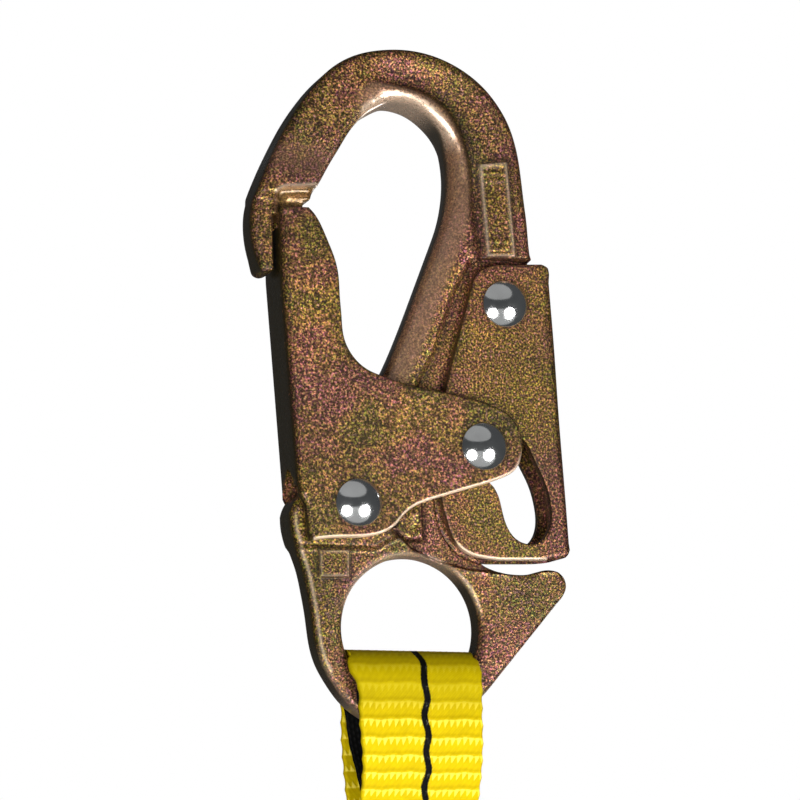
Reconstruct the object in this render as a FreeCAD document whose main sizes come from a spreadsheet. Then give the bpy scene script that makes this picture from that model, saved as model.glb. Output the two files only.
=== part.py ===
"""Self retracting lifeline: double-locking snap hook, sewn webbing end and
compact webbing retractor.

Frame: millimetres, +Z up, the hook's flat front looks along -Y.  The origin is
the bearing point at the top of the hook's bowl, on the hook's mid-plane, which
is where the hook hangs on its anchor ring.
"""
import FreeCAD, Part
import math
import os
import Sketcher

V = FreeCAD.Vector
doc = FreeCAD.newDocument("Lifeline")

# ---------------------------------------------------------------- dimensions
SHEET = [
    # hook forging
    ("body_thick", 12.0), ("gate_zone_thick", 9.6), ("lever_zone_thick", 5.6),
    ("eye_zone_thick", 7.0), ("eye_radius", 13.63), ("eye_cx", 4.6), ("eye_cz", -101.7),
    # folded sheet-steel gate and lever
    ("gate_outer", 14.4), ("gate_inner", 10.4), ("lever_outer", 10.0), ("lever_inner", 6.0),
    # pivots
    ("gate_px", -7.0), ("gate_pz", -78.5), ("link_px", 17.9), ("link_pz", -66.9),
    ("lever_px", 23.0), ("lever_pz", -38.6),
    ("shank_radius", 2.4), ("bore_radius", 2.45), ("rivet_head_radius", 4.6), ("rivet_head_height", 2.0),
    # springs
    ("spring_wire_radius", 0.35), ("gate_spring_radius", 2.2), ("lever_spring_radius", 1.5),
    ("gate_spring_z", -67.0), ("lever_spring_z", -48.5),
    # webbing
    ("web_width", 25.0), ("web_cx", 5.6), ("web_thick", 1.8), ("liner_thick", 0.9),
    ("loop_top", -105.7), ("loop_outer_radius", 7.0), ("sewn_top", -141.0), ("sewn_end", -182.0),
    # retractor housing
    ("case_width", 84.0), ("case_height", 112.0), ("case_depth", 46.0), ("case_wall", 2.6),
    ("case_top", -212.0), ("spool_z", -268.0), ("shaft_radius", 6.0),
    ("roll_radius", 24.0), ("hub_radius", 11.0), ("flange_radius", 30.0), ("plate_thick", 2.5),
]
sheet = doc.addObject("Spreadsheet::Sheet", "Spreadsheet")
for row, (alias, value) in enumerate(SHEET, start=1):
    sheet.set("A%d" % row, alias)
    sheet.set("B%d" % row, str(value))
    sheet.setAlias("B%d" % row, alias)
doc.recompute()
D = dict(SHEET)
MADE = []


# ------------------------------------------------------------------- helpers
def new_body(name):
    body = doc.addObject("PartDesign::Body", name)
    body.Label = name
    MADE.append((name, body))
    return body


def plane(body, role):
    return [o for o in body.Origin.OriginFeatures if o.Role == role][0]


def new_sketch(body, name, role="XZ_Plane", offset=None):
    sk = body.newObject("Sketcher::SketchObject", name)
    sk.AttachmentSupport = (plane(body, role), [""])
    sk.MapMode = "FlatFace"
    if offset is not None:
        sk.setExpression("AttachmentOffset.Base.z", offset)
    return sk


def outline(sk, runs):
    """Closed outline from runs of points: two points make a line, more make a smooth curve."""
    for run in runs:
        pts = [V(x, z, 0) for x, z in run]
        if len(pts) == 2:
            sk.addGeometry(Part.LineSegment(pts[0], pts[1]))
        else:
            curve = Part.BSplineCurve()
            curve.interpolate(pts)
            sk.addGeometry(curve)


def polygon(sk, pts):
    n = len(pts)
    for i in range(n):
        a, b = pts[i], pts[(i + 1) % n]
        sk.addGeometry(Part.LineSegment(V(a[0], a[1], 0), V(b[0], b[1], 0)))


def circle(sk, cx, cz, radius, cx_cell=None, cz_cell=None, r_cell=None):
    g = sk.addGeometry(Part.Circle(V(cx, cz, 0), V(0, 0, 1), radius))
    tag = "g%d" % g
    for kind, cell, value in (("DistanceX", cx_cell, cx), ("DistanceY", cz_cell, cz)):
        if cell:
            c = sk.addConstraint(Sketcher.Constraint(kind, -1, 1, g, 3, value))
            sk.renameConstraint(c, tag + kind)
            sk.setExpression("Constraints." + tag + kind, "Spreadsheet." + cell)
    if r_cell:
        c = sk.addConstraint(Sketcher.Constraint("Radius", g, radius))
        sk.renameConstraint(c, tag + "rad")
        sk.setExpression("Constraints." + tag + "rad", "Spreadsheet." + r_cell)
    return g


def pad(body, sk, name, expr, symmetric=True, reverse=False):
    f = body.newObject("PartDesign::Pad", name)
    f.Profile = sk
    f.setExpression("Length", expr)
    if symmetric:
        f.SideType = "Symmetric"
    f.Reversed = reverse
    return f


def pocket(body, sk, name, expr, symmetric=True, reverse=False):
    f = body.newObject("PartDesign::Pocket", name)
    f.Profile = sk
    f.setExpression("Length", expr)
    if symmetric:
        f.SideType = "Symmetric"
    f.Reversed = reverse
    return f


def step_faces(body, name, pts, zone_cell):
    """Mill both faces of the forging down to a zone's thickness inside a polygon."""
    depth = "(Spreadsheet.body_thick - Spreadsheet.%s) / 2" % zone_cell
    front = new_sketch(body, name + "FrontSketch", offset="Spreadsheet.body_thick / 2")
    polygon(front, pts)
    pocket(body, front, name + "Front", depth, symmetric=False)
    back = new_sketch(body, name + "BackSketch", offset="-Spreadsheet.body_thick / 2")
    polygon(back, pts)
    pocket(body, back, name + "Back", depth, symmetric=False, reverse=True)


def revolve_x_or_y(body, name, profile, base_role, axis_role):
    sk = new_sketch(body, name + "Sketch", role=base_role)
    outline(sk, profile)
    f = body.newObject("PartDesign::Revolution", name)
    f.Profile = sk
    f.ReferenceAxis = ([o for o in body.Origin.OriginFeatures if o.Role == axis_role][0], [""])
    f.Angle = 360.0
    return f


# ------------------------------------------------------------ 1. hook forging
SPINE = [(28.74, -29.76), (28.39, -27.43), (27.98, -22.68), (27.39, -17.97), (26.82, -13.24), (26.08, -8.54),
         (24.72, -4.0), (22.5, 0.14), (19.55, 3.8), (15.89, 6.74), (11.67, 8.92), (7.09, 10.25), (2.32, 10.65),
         (-2.39, 10.17), (-6.71, 8.94), (-10.45, 6.95), (-13.88, 3.93), (-16.92, 0.17), (-19.6, -3.9),
         (-21.91, -8.18), (-23.99, -12.58), (-25.83, -17.04), (-27.25, -21.62), (-27.43, -26.3), (-26.6, -30.88),
         (-25.93, -33.0)]
LIP_END = [(-25.93, -33.0), (-25.3, -34.25), (-24.2, -34.7), (-22.95, -34.3)]
NOSE_AND_BOWL = [(-16.0, -20.3), (-15.3, -18.73), (-14.33, -16.99), (-12.41, -13.42), (-10.36, -9.89),
                 (-8.24, -6.35), (-6.82, -4.58), (-4.7, -2.6), (-2.13, -0.95), (0.0, 0.0), (2.42, 0.0), (4.45, -0.5),
                 (7.93, -2.58), (10.38, -5.62), (11.59, -9.38), (12.03, -15.35), (11.63, -19.38), (10.73, -23.36),
                 (9.38, -27.23), (6.53, -34.85), (3.68, -42.43), (0.63, -49.89), (-1.3, -53.9), (-3.9, -58.2),
                 (-7.1, -62.6), (-10.2, -66.8), (-12.7, -70.4), (-14.6, -73.9), (-16.0, -75.8), (-17.7, -77.2),
                 (-19.0, -78.8), (-19.6, -80.6)]
RING = [(-19.6, -80.6), (-19.5, -82.4), (-18.53, -86.29), (-16.93, -90.52), (-15.85, -94.94), (-15.01, -99.41),
        (-14.36, -103.9), (-13.15, -108.25), (-10.91, -112.21), (-8.0, -115.9), (-4.0, -118.8), (0.2, -120.4),
        (4.6, -120.9), (9.0, -120.3), (13.2, -118.6), (16.9, -116.2), (19.75, -113.46)]
HORN_LINE = [(19.75, -113.46), (35.04, -95.13)]
HORN_TOP = [(35.04, -95.13), (35.83, -92.95), (35.05, -90.82), (32.97, -89.8), (28.5, -90.7), (25.4, -90.9),
            (22.4, -90.35), (19.4, -89.2), (17.6, -87.4), (16.8, -84.8), (16.6, -81.0), (16.2, -76.0),
            (14.9, -71.2), (13.4, -67.3), (13.2, -63.9), (15.0, -60.5), (18.2, -56.5), (21.5, -52.2),
            (25.0, -47.7), (28.0, -43.2), (29.3, -38.2), (29.2, -33.6), (28.74, -29.76)]

body = new_body("hook_body")
sk = new_sketch(body, "HookOutline")
outline(sk, [SPINE, LIP_END, [(-22.95, -34.3), (-23.35, -23.5)],
             [(-23.35, -23.5), (-17.8, -23.5)], [(-17.8, -23.5), (-17.3, -21.0)], [(-17.3, -21.0), (-16.0, -20.3)],
             NOSE_AND_BOWL, RING, HORN_LINE, HORN_TOP])
circle(sk, D["eye_cx"], D["eye_cz"], D["eye_radius"], "eye_cx", "eye_cz", "eye_radius")
pad(body, sk, "HookForging", "Spreadsheet.body_thick")
# the gate straddles the leg: thinner from the nose's shelf down to the gate pivot
step_faces(body, "GateZone", [(-22.9, -45.0), (-22.9, -19.3), (-21.6, -18.4), (-14.0, -17.6), (11.0, -17.6),
                              (15.5, -19.0), (17.5, -22.0), (18.9, -29.9), (45.0, -29.9), (45.0, -130.0),
                              (-30.0, -130.0), (-30.0, -45.0)], "gate_zone_thick")
# the lever straddles a thin web
step_faces(body, "LeverZone", [(18.0, -29.8), (45.0, -29.8), (45.0, -89.6), (33.0, -89.6), (24.0, -90.6),
                               (16.0, -89.9), (10.0, -88.6), (4.6, -86.2), (2.2, -83.9), (0.9, -80.5),
                               (0.7, -77.0), (1.3, -72.5), (2.6, -66.5), (4.6, -60.0), (6.8, -54.5),
                               (9.6, -49.3), (12.0, -42.3), (14.4, -35.5), (16.6, -31.4)], "lever_zone_thick")
# eye, ring and horn
step_faces(body, "EyeZone", [(-30.0, -86.6), (-3.0, -86.6), (0.3, -84.6), (2.2, -83.9), (4.6, -86.2), (10.0, -88.6),
                             (16.0, -89.9), (24.0, -90.6), (33.0, -89.6), (45.0, -89.6), (45.0, -130.0),
                             (-30.0, -130.0)], "eye_zone_thick")
sk = new_sketch(body, "PivotBoresSketch")
circle(sk, D["gate_px"], D["gate_pz"], D["shank_radius"], "gate_px", "gate_pz", "shank_radius")
circle(sk, D["lever_px"], D["lever_pz"], D["shank_radius"], "lever_px", "lever_pz", "shank_radius")
pocket(body, sk, "PivotBores", "Spreadsheet.body_thick + 2")
# blind seats for the two return springs
sk = new_sketch(body, "GateSpringSeatSketch", role="YZ_Plane", offset="-20")
circle(sk, 0.0, D["gate_spring_z"], 2.9, None, "gate_spring_z", None)
pocket(body, sk, "GateSpringSeat", "17.5", symmetric=False, reverse=True)
sk = new_sketch(body, "LeverSpringSeatSketch", role="YZ_Plane", offset="32")
circle(sk, 0.0, D["lever_spring_z"], 2.1, None, "lever_spring_z", None)
pocket(body, sk, "LeverSpringSeat", "14", symmetric=False)

# --------------------------------------------------------------- 2. gate
GATE_TOP = [(-22.6, -22.45), (-16.95, -22.3)]
GATE_RIGHT = [(-16.95, -22.3), (-16.13, -23.08), (-15.0, -24.6), (-13.33, -28.05), (-11.85, -31.56),
              (-10.95, -35.28), (-10.69, -39.14), (-10.34, -42.96), (-9.92, -46.78), (-8.33, -50.2),
              (-5.5, -52.8), (-2.7, -53.95), (1.06, -55.02), (5.24, -55.99), (10.24, -56.7), (13.04, -57.25),
              (17.07, -57.97), (19.69, -58.83), (22.52, -60.06), (24.53, -62.11), (25.73, -65.35), (25.4, -69.04),
              (24.4, -71.0), (22.45, -72.4), (19.62, -73.55), (14.39, -75.22), (8.99, -76.94), (5.9, -78.0),
              (3.83, -79.02), (1.85, -80.7), (0.07, -82.75), (-1.9, -83.95), (-4.84, -84.79), (-9.15, -85.12),
              (-13.43, -85.43), (-16.4, -86.0)]
body = new_body("gate_channel")
sk = new_sketch(body, "GateOutline")
outline(sk, [GATE_TOP, GATE_RIGHT, [(-16.4, -86.0), (-17.4, -79.0)], [(-17.4, -79.0), (-18.55, -77.0)],
             [(-18.55, -77.0), (-22.2, -35.3)], [(-22.2, -35.3), (-22.6, -22.45)]])
pad(body, sk, "GateBlank", "Spreadsheet.gate_outer")
sk = new_sketch(body, "GateChannelSketch")
polygon(sk, [(-25.0, -18.0), (-25.0, -26.2), (-20.4, -26.2), (-20.2, -35.3), (-16.75, -74.5), (-25.0, -75.5),
             (-25.0, -95.0), (40.0, -95.0),
             (40.0, -18.0)])
pocket(body, sk, "GateChannel", "Spreadsheet.gate_inner")
sk = new_sketch(body, "GateBores")
circle(sk, D["gate_px"], D["gate_pz"], D["bore_radius"], "gate_px", "gate_pz", "bore_radius")
circle(sk, D["link_px"], D["link_pz"], D["shank_radius"], "link_px", "link_pz", "shank_radius")
pocket(body, sk, "GatePivotBores", "Spreadsheet.gate_outer + 2")

# --------------------------------------------------------------- 3. lock lever
LEVER_LEFT = [(22.2, -30.78), (21.18, -30.95), (19.33, -31.54), (17.49, -32.82), (16.26, -35.64), (15.58, -38.22),
              (14.13, -43.58), (12.78, -48.72), (10.94, -55.99), (10.0, -63.0), (9.8, -70.0), (10.15, -77.41),
              (10.63, -79.51), (11.29, -81.59), (12.48, -84.61), (14.68, -86.84), (18.69, -88.07), (21.91, -88.36)]
body = new_body("lock_lever")
sk = new_sketch(body, "LeverOutline")
outline(sk, [LEVER_LEFT, [(21.91, -88.36), (31.23, -88.09)],
             [(31.23, -88.09), (34.3, -87.75), (35.7, -87.2), (36.41, -85.92)],
             [(36.41, -85.92), (35.51, -73.7), (34.43, -59.7), (33.51, -45.59), (32.95, -38.51), (32.45, -32.2)],
             [(32.45, -32.2), (31.9, -30.9), (30.7, -30.3)], [(30.7, -30.3), (22.2, -30.78)]])
pad(body, sk, "LeverBlank", "Spreadsheet.lever_outer")
sk = new_sketch(body, "LeverChannelSketch")
polygon(sk, [(5.0, -26.0), (30.35, -26.0), (30.85, -38.5), (32.4, -59.7), (34.2, -84.0), (34.45, -92.0),
             (5.0, -92.0)])
pocket(body, sk, "LeverChannel", "Spreadsheet.lever_inner")
sk = new_sketch(body, "LeverSlotSketch")
outline(sk, [[(17.9, -64.1), (24.6, -64.1)],
             [(24.6, -64.1), (26.6, -65.0), (28.52, -68.07), (30.74, -72.45), (32.0, -76.67), (32.1, -81.31),
              (30.45, -84.2), (28.0, -85.1), (25.17, -84.23), (23.36, -81.97), (22.16, -78.16), (21.37, -75.6),
              (20.6, -74.3)],
             [(20.6, -74.3), (18.0, -71.6), (16.3, -69.25)],
             [(16.3, -69.25), (15.15, -67.5), (15.75, -65.1), (17.9, -64.1)]])
pocket(body, sk, "LeverSlot", "Spreadsheet.lever_outer + 2")
sk = new_sketch(body, "LeverBore")
circle(sk, D["lever_px"], D["lever_pz"], D["bore_radius"], "lever_px", "lever_pz", "bore_radius")
pocket(body, sk, "LeverPivotBore", "Spreadsheet.lever_outer + 2")


# --------------------------------------------------------------- 4. rivets
def rivet(name, half_cell, cx_cell, cz_cell):
    """Rivet with a polished low dome at each end, turned about its own Y axis."""
    h = D[half_cell] / 2.0 + 0.05
    r, hr, hh = D["shank_radius"], D["rivet_head_radius"], D["rivet_head_height"]
    b = new_body(name)
    half = [[(0.0, h + hh), (1.6, h + hh - 0.13), (3.0, h + hh - 0.62), (4.0, h + hh - 1.25), (hr, h + 0.35)],
            [(hr, h + 0.35), (hr - 0.12, h)], [(hr - 0.12, h), (r, h)], [(r, h), (r, -h)],
            [(r, -h), (hr - 0.12, -h)], [(hr - 0.12, -h), (hr, -h - 0.35)],
            [(hr, -h - 0.35), (4.0, -h - hh + 1.25), (3.0, -h - hh + 0.62), (1.6, -h - hh + 0.13), (0.0, -h - hh)],
            [(0.0, -h - hh), (0.0, h + hh)]]
    revolve_x_or_y(b, name + "_turned", half, "XY_Plane", "Y_Axis")
    b.Placement = FreeCAD.Placement(V(D[cx_cell], 0, D[cz_cell]), FreeCAD.Rotation())
    b.setExpression("Placement.Base.x", "Spreadsheet." + cx_cell)
    b.setExpression("Placement.Base.z", "Spreadsheet." + cz_cell)
    return b


rivet("gate_pivot_rivet", "gate_outer", "gate_px", "gate_pz")
rivet("link_rivet", "gate_outer", "link_px", "link_pz")
rivet("lever_pivot_rivet", "lever_outer", "lever_px", "lever_pz")


# --------------------------------------------------------------- 5. springs
def coil(name, x0, x1, z, radius_cell, turns):
    """Compression spring lying along X from x0 to x1."""
    length = x1 - x0
    r, w = D[radius_cell], D["spring_wire_radius"]
    helix = doc.addObject("Part::Helix", name + "_path")
    helix.Height = length - 2 * w
    helix.Pitch = (length - 2 * w) / turns
    helix.setExpression("Radius", "Spreadsheet." + radius_cell)
    wire = doc.addObject("Part::Circle", name + "_wire")
    wire.setExpression("Radius", "Spreadsheet.spring_wire_radius")
    wire.Placement = FreeCAD.Placement(V(r, 0, 0), FreeCAD.Rotation(V(1, 0, 0), 90))
    sweep = doc.addObject("Part::Sweep", name)
    sweep.Sections = [wire]
    sweep.Spine = (helix, ["Edge1"])
    sweep.Solid = True
    sweep.Frenet = True
    sweep.Label = name
    sweep.Placement = FreeCAD.Placement(V(x0 + w, 0, z), FreeCAD.Rotation(V(0, 1, 0), 90))
    MADE.append((name, sweep))


coil("gate_spring", -17.1, -2.6, D["gate_spring_z"], "gate_spring_radius", 6.0)
coil("lever_spring", 18.1, 31.35, D["lever_spring_z"], "lever_spring_radius", 6.0)


# --------------------------------------------------------------- 6. webbing
def arc_pts(radius, cy, cz, a0, a1, n=12):
    return [(cy + radius * math.cos(math.radians(a0 + (a1 - a0) * k / n)),
             cz + radius * math.sin(math.radians(a0 + (a1 - a0) * k / n))) for k in range(n + 1)]


def leg_curve(y_top, z_hold, y_end, z_end, n=8):
    """One leg's face: straight past the ring to z_hold, then easing in to y_end at z_end."""
    pts = []
    for k in range(n + 1):
        t = k / float(n)
        s = t * t * (3 - 2 * t)
        pts.append((y_top + (y_end - y_top) * s, z_hold + (z_end - z_hold) * t))
    return pts


WEB, LIN = D["web_thick"], D["liner_thick"]
R_OUT = D["loop_outer_radius"]
LOOP_CZ = D["loop_top"] - R_OUT
SEW_TOP, SEW_END = D["sewn_top"], D["sewn_end"]
SPOOL_Z, ROLL_R = D["spool_z"], D["roll_radius"]
MOUTH_Z = D["case_top"] - 10.0
HOLD = -119.5
# the single ply below the sewing runs through the nozzle and on to the roll's tangent
dist = MOUTH_Z - SPOOL_Z
rr = ROLL_R + WEB / 2 + 0.2
ang = math.asin(rr / dist)
run = math.sqrt(dist * dist - rr * rr)
tang = (-run * math.sin(ang), MOUTH_Z - run * math.cos(ang))
nx, nz = math.cos(ang), -math.sin(ang)

b = new_body("webbing")
sk = new_sketch(b, "WebbingProfile", role="YZ_Plane", offset="Spreadsheet.web_cx")
left = leg_curve(-R_OUT, HOLD, -(WEB + 0.05), SEW_TOP)
right = [(-y, z) for y, z in left]
h = WEB / 2
outline(sk, [arc_pts(R_OUT, 0, LOOP_CZ, 0, 180), [(-R_OUT, LOOP_CZ), (-R_OUT, HOLD)], left,
             [left[-1], (-(WEB + 0.05), SEW_END)], [(-(WEB + 0.05), SEW_END), (-h, SEW_END - 1.5)],
             [(-h, SEW_END - 1.5), (-h, MOUTH_Z - 0.2)],
             [(-h, MOUTH_Z - 0.2), (tang[0] - nx * h, tang[1] - nz * h)],
             [(tang[0] - nx * h, tang[1] - nz * h), (tang[0] + nx * h, tang[1] + nz * h)],
             [(tang[0] + nx * h, tang[1] + nz * h), (h, MOUTH_Z - 0.8)],
             [(h, MOUTH_Z - 0.8), (h, SEW_END - 1.5)], [(h, SEW_END - 1.5), (WEB + 0.05, SEW_END)],
             [(WEB + 0.05, SEW_END), right[-1]], right[::-1], [(R_OUT, HOLD), (R_OUT, LOOP_CZ)]])
pad(b, sk, "WebbingBand", "Spreadsheet.web_width")
sk = new_sketch(b, "LoopOpening", role="YZ_Plane", offset="Spreadsheet.web_cx")
R_IN = R_OUT - WEB
lin_l = leg_curve(-R_IN, HOLD, -0.05, SEW_TOP + 0.5)
lin_r = [(-y, z) for y, z in lin_l]
outline(sk, [arc_pts(R_IN, 0, LOOP_CZ, 0, 180), [(-R_IN, LOOP_CZ), (-R_IN, HOLD)], lin_l,
             [lin_l[-1], lin_r[-1]], lin_r[::-1], [(R_IN, HOLD), (R_IN, LOOP_CZ)]])
pocket(b, sk, "LoopInside", "Spreadsheet.web_width + 4")


def ring_clearance(bd, tag):
    """The band narrows where it passes through the eye and lies on the ring's inner wall."""
    s1 = new_sketch(bd, tag + "Sketch")
    circle(s1, D["eye_cx"], D["eye_cz"], 20.0, "eye_cx", "eye_cz", None)
    circle(s1, D["eye_cx"], D["eye_cz"], 13.2, "eye_cx", "eye_cz", None)
    pocket(bd, s1, tag, "Spreadsheet.eye_zone_thick + 2.0")


ring_clearance(b, "RingClearance")

b = new_body("wear_liner")
sk = new_sketch(b, "LinerProfile", role="YZ_Plane", offset="Spreadsheet.web_cx")
RL = R_IN - 0.1
outer_l = leg_curve(-RL, -121.0, -1.62, -133.0)
inner_l = leg_curve(-(RL - LIN), -121.0, -0.72, -133.0)
outer_r = [(-y, z) for y, z in outer_l]
inner_r = [(-y, z) for y, z in inner_l]
outline(sk, [arc_pts(RL, 0, LOOP_CZ, 0, 180), [(-RL, LOOP_CZ), (-RL, -121.0)], outer_l,
             [outer_l[-1], inner_l[-1]], inner_l[::-1], [(-(RL - LIN), -121.0), (-(RL - LIN), LOOP_CZ)],
             arc_pts(RL - LIN, 0, LOOP_CZ, 180, 0), [(RL - LIN, LOOP_CZ), (RL - LIN, -121.0)], inner_r,
             [inner_r[-1], outer_r[-1]], outer_r[::-1], [(RL, -121.0), (RL, LOOP_CZ)]])
pad(b, sk, "LinerBand", "Spreadsheet.web_width - 0.6")
ring_clearance(b, "LinerClearance")

# sewing that closes the loop: rows of thread standing 0.3 mm proud of both faces
b = new_body("loop_stitching")
sk = new_sketch(b, "StitchRows")
zs = [SEW_TOP - 2.0 - 3.6 * k for k in range(11)]
x0, x1 = D["web_cx"] - 9.5, D["web_cx"] + 9.5
for z in zs:
    polygon(sk, [(x0, z), (x1, z), (x1, z - 0.8), (x0, z - 0.8)])
for x in (x0 - 1.0, x1 + 0.2):
    pass
pad(b, sk, "StitchThread", "2 * Spreadsheet.web_thick + 0.7")

# rubber stop that rests on the nozzle when the line is wound in
CX = D["web_cx"]


def block(name, x, y, z, dx, dy, dz, r_edge=0.0, label=True):
    """Box centred in X and Y at (x, y), from z up by dz, optionally with all edges rounded."""
    o = doc.addObject("Part::Box", name + ("_block" if r_edge else ""))
    o.Length, o.Width, o.Height = dx, dy, dz
    o.Placement = FreeCAD.Placement(V(x - dx / 2.0, y - dy / 2.0, z), FreeCAD.Rotation())
    if r_edge:
        doc.recompute()
        f = doc.addObject("Part::Fillet", name)
        f.Base = o
        f.Edges = [(i + 1, r_edge, r_edge) for i in range(len(o.Shape.Edges))]
        o = f
    return o


def rod_x(name, x0, x1, y, z, radius, cell=None):
    o = doc.addObject("Part::Cylinder", name)
    o.Radius = radius
    if cell:
        o.setExpression("Radius", "Spreadsheet." + cell)
    o.Height = x1 - x0
    o.Placement = FreeCAD.Placement(V(x0, y, z), FreeCAD.Rotation(V(0, 1, 0), 90))
    return o


def cut(name, base, tool):
    o = doc.addObject("Part::Cut", name)
    o.Base, o.Tool = base, tool
    return o


def fuse(name, shapes):
    o = doc.addObject("Part::MultiFuse", name)
    o.Shapes = shapes
    return o


def keep(name, o):
    o.Label = name
    MADE.append((name, o))
    return o


stop = block("stop_body", CX, 0, D["case_top"] + 0.2, 34, 15, 22, 3.0)
keep("line_stop", cut("line_stop_cut", stop, block("stop_slot", CX, 0, D["case_top"] - 1, 25.2, WEB + 0.2, 30)))

# ------------------------------------------------- 7. retractor housing
TOP, BOT = D["case_top"], D["case_top"] - D["case_height"]
HW, HD, WALL = D["case_depth"] / 2.0, D["case_width"] / 2.0, D["case_wall"]


CASE_PTS = [(-15, TOP), (15, TOP), (HD, TOP - 32), (HD, SPOOL_Z - 8), (19, BOT), (-19, BOT), (-HD, SPOOL_Z - 8),
            (-HD, TOP - 32)]
CASE_RADII = [7, 7, 26, 40, 14, 14, 40, 26]


def case_outline(sk, inset):
    """Housing side outline: shoulders sloping to the nozzle, full round flanks, narrower foot."""
    n = len(CASE_PTS)
    lines = []
    for i in range(n):
        (ax, ay), (bx, by) = CASE_PTS[i], CASE_PTS[(i + 1) % n]
        ln = math.hypot(bx - ax, by - ay)
        nx_, ny_ = (by - ay) / ln, -(bx - ax) / ln      # inward for this clockwise outline
        lines.append((ax + nx_ * inset * 1.0, ay + ny_ * inset * 1.0, (bx - ax) / ln, (by - ay) / ln))
    corners = []
    for i in range(n):
        x1, y1, dx1, dy1 = lines[i - 1]
        x2, y2, dx2, dy2 = lines[i]
        det = dx1 * dy2 - dy1 * dx2
        t = ((x2 - x1) * dy2 - (y2 - y1) * dx2) / det
        corners.append((x1 + dx1 * t, y1 + dy1 * t))
    ends = []
    for i in range(n):
        p, q, r_ = corners[i - 1], corners[i], corners[(i + 1) % n]
        rad = CASE_RADII[i] - inset * 0.9
        a1 = math.atan2(p[1] - q[1], p[0] - q[0])
        a2 = math.atan2(r_[1] - q[1], r_[0] - q[0])
        half = abs((a1 - a2 + math.pi) % (2 * math.pi) - math.pi) / 2
        t = rad / math.tan(half)
        s_ = (q[0] + t * math.cos(a1), q[1] + t * math.sin(a1))
        e_ = (q[0] + t * math.cos(a2), q[1] + t * math.sin(a2))
        bis = math.atan2(math.sin(a1) + math.sin(a2), math.cos(a1) + math.cos(a2))
        m_ = (q[0] + (rad / math.sin(half) - rad) * math.cos(bis), q[1] + (rad / math.sin(half) - rad) * math.sin(bis))
        ends.append((s_, m_, e_))
    for i in range(n):
        s_, m_, e_ = ends[i]
        sk.addGeometry(Part.Arc(V(s_[0], s_[1], 0), V(m_[0], m_[1], 0), V(e_[0], e_[1], 0)))
        nxt = ends[(i + 1) % n][0]
        sk.addGeometry(Part.LineSegment(V(e_[0], e_[1], 0), V(nxt[0], nxt[1], 0)))


SCREWS = [(25.2, TOP - 24.2), (-25.2, TOP - 24.2), (23.5, BOT + 21.5), (-23.5, BOT + 21.5)]


def cover(name, side):
    """One half shell; side is -1 for the half towards -X, +1 for the other."""
    b = new_body(name)
    sk = new_sketch(b, name + "Outline", role="YZ_Plane", offset="Spreadsheet.web_cx")
    case_outline(sk, 0.0)
    f = pad(b, sk, name + "Shell", "Spreadsheet.case_depth / 2 + 5", symmetric=False, reverse=(side < 0))
    doc.recompute()
    face_x = CX + side * (HW + 5)
    names = []
    for k, e in enumerate(f.Shape.Edges):
        bb = e.BoundBox
        if abs(bb.XMin - face_x) < 1e-3 and abs(bb.XMax - face_x) < 1e-3:
            names.append("Edge%d" % (k + 1))
    fl = b.newObject("PartDesign::Fillet", name + "Round")
    fl.Base = (f, names)
    fl.Radius = 6.0
    fl.UseAllEdges = False
    sk = new_sketch(b, name + "Hollow", role="YZ_Plane", offset="Spreadsheet.web_cx")
    case_outline(sk, WALL)
    pocket(b, sk, name + "Inside", "Spreadsheet.case_depth / 2 + 5 - Spreadsheet.case_wall", symmetric=False,
           reverse=(side > 0))
    # line mouth at the top and stud opening at the foot, half in each cover
    sk = new_sketch(b, name + "Mouths", role="YZ_Plane", offset="Spreadsheet.web_cx")
    polygon(sk, [(-4.5, TOP + 3), (4.5, TOP + 3), (4.5, TOP - 8), (-4.5, TOP - 8)])
    pocket(b, sk, name + "LineMouth", "32", symmetric=True)
    sk = new_sketch(b, name + "Foot", role="YZ_Plane", offset="Spreadsheet.web_cx")
    polygon(sk, [(-8.2, BOT - 3), (8.2, BOT - 3), (8.2, BOT + 8), (-8.2, BOT + 8)])
    pocket(b, sk, name + "StudMouth", "16.4", symmetric=True)
    # screw bosses joined to the wall by the shell's own face
    for k, (y, z) in enumerate(SCREWS):
        sk = new_sketch(b, "%sBoss%d" % (name, k), role="YZ_Plane",
                        offset="Spreadsheet.web_cx + %d * (Spreadsheet.case_depth / 2 + 5 - 1)" % side)
        circle(sk, y, z, 3.6)
        pad(b, sk, "%sBossPad%d" % (name, k), "Spreadsheet.case_depth / 2 + 5 - 1.2", symmetric=False,
            reverse=(side > 0))
    sk = new_sketch(b, name + "ScrewHoles", role="YZ_Plane", offset="Spreadsheet.web_cx")
    for y, z in SCREWS:
        circle(sk, y, z, 1.75)
    if side < 0:
        pocket(b, sk, name + "Holes", "80", symmetric=True)
    else:
        pocket(b, sk, name + "Holes", "Spreadsheet.case_depth / 2 + 1", symmetric=False, reverse=True)
    if side < 0:
        sk = new_sketch(b, name + "HeadSeats", role="YZ_Plane",
                        offset="Spreadsheet.web_cx - Spreadsheet.case_depth / 2 - 5")
        for y, z in SCREWS:
            circle(sk, y, z, 3.1)
        pocket(b, sk, name + "Counterbores", "3.2", symmetric=False, reverse=True)
    return b


cover("cover_left", -1)
cover("cover_right", 1)

# cover screws: pan heads in the left cover's counterbores, threads in the right cover's bosses
parts = []
for k, (y, z) in enumerate(SCREWS):
    parts.append(fuse("screw%d" % k, [rod_x("screw_head%d" % k, CX - HW - 5 + 0.6, CX - HW - 5 + 3.2, y, z, 2.9),
                                      rod_x("screw_shank%d" % k, CX - HW - 5 + 3.0, CX + HW - 4, y, z, 1.7)]))
comp = doc.addObject("Part::Compound", "cover_screws")
comp.Links = parts
keep("cover_screws", comp)

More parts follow.
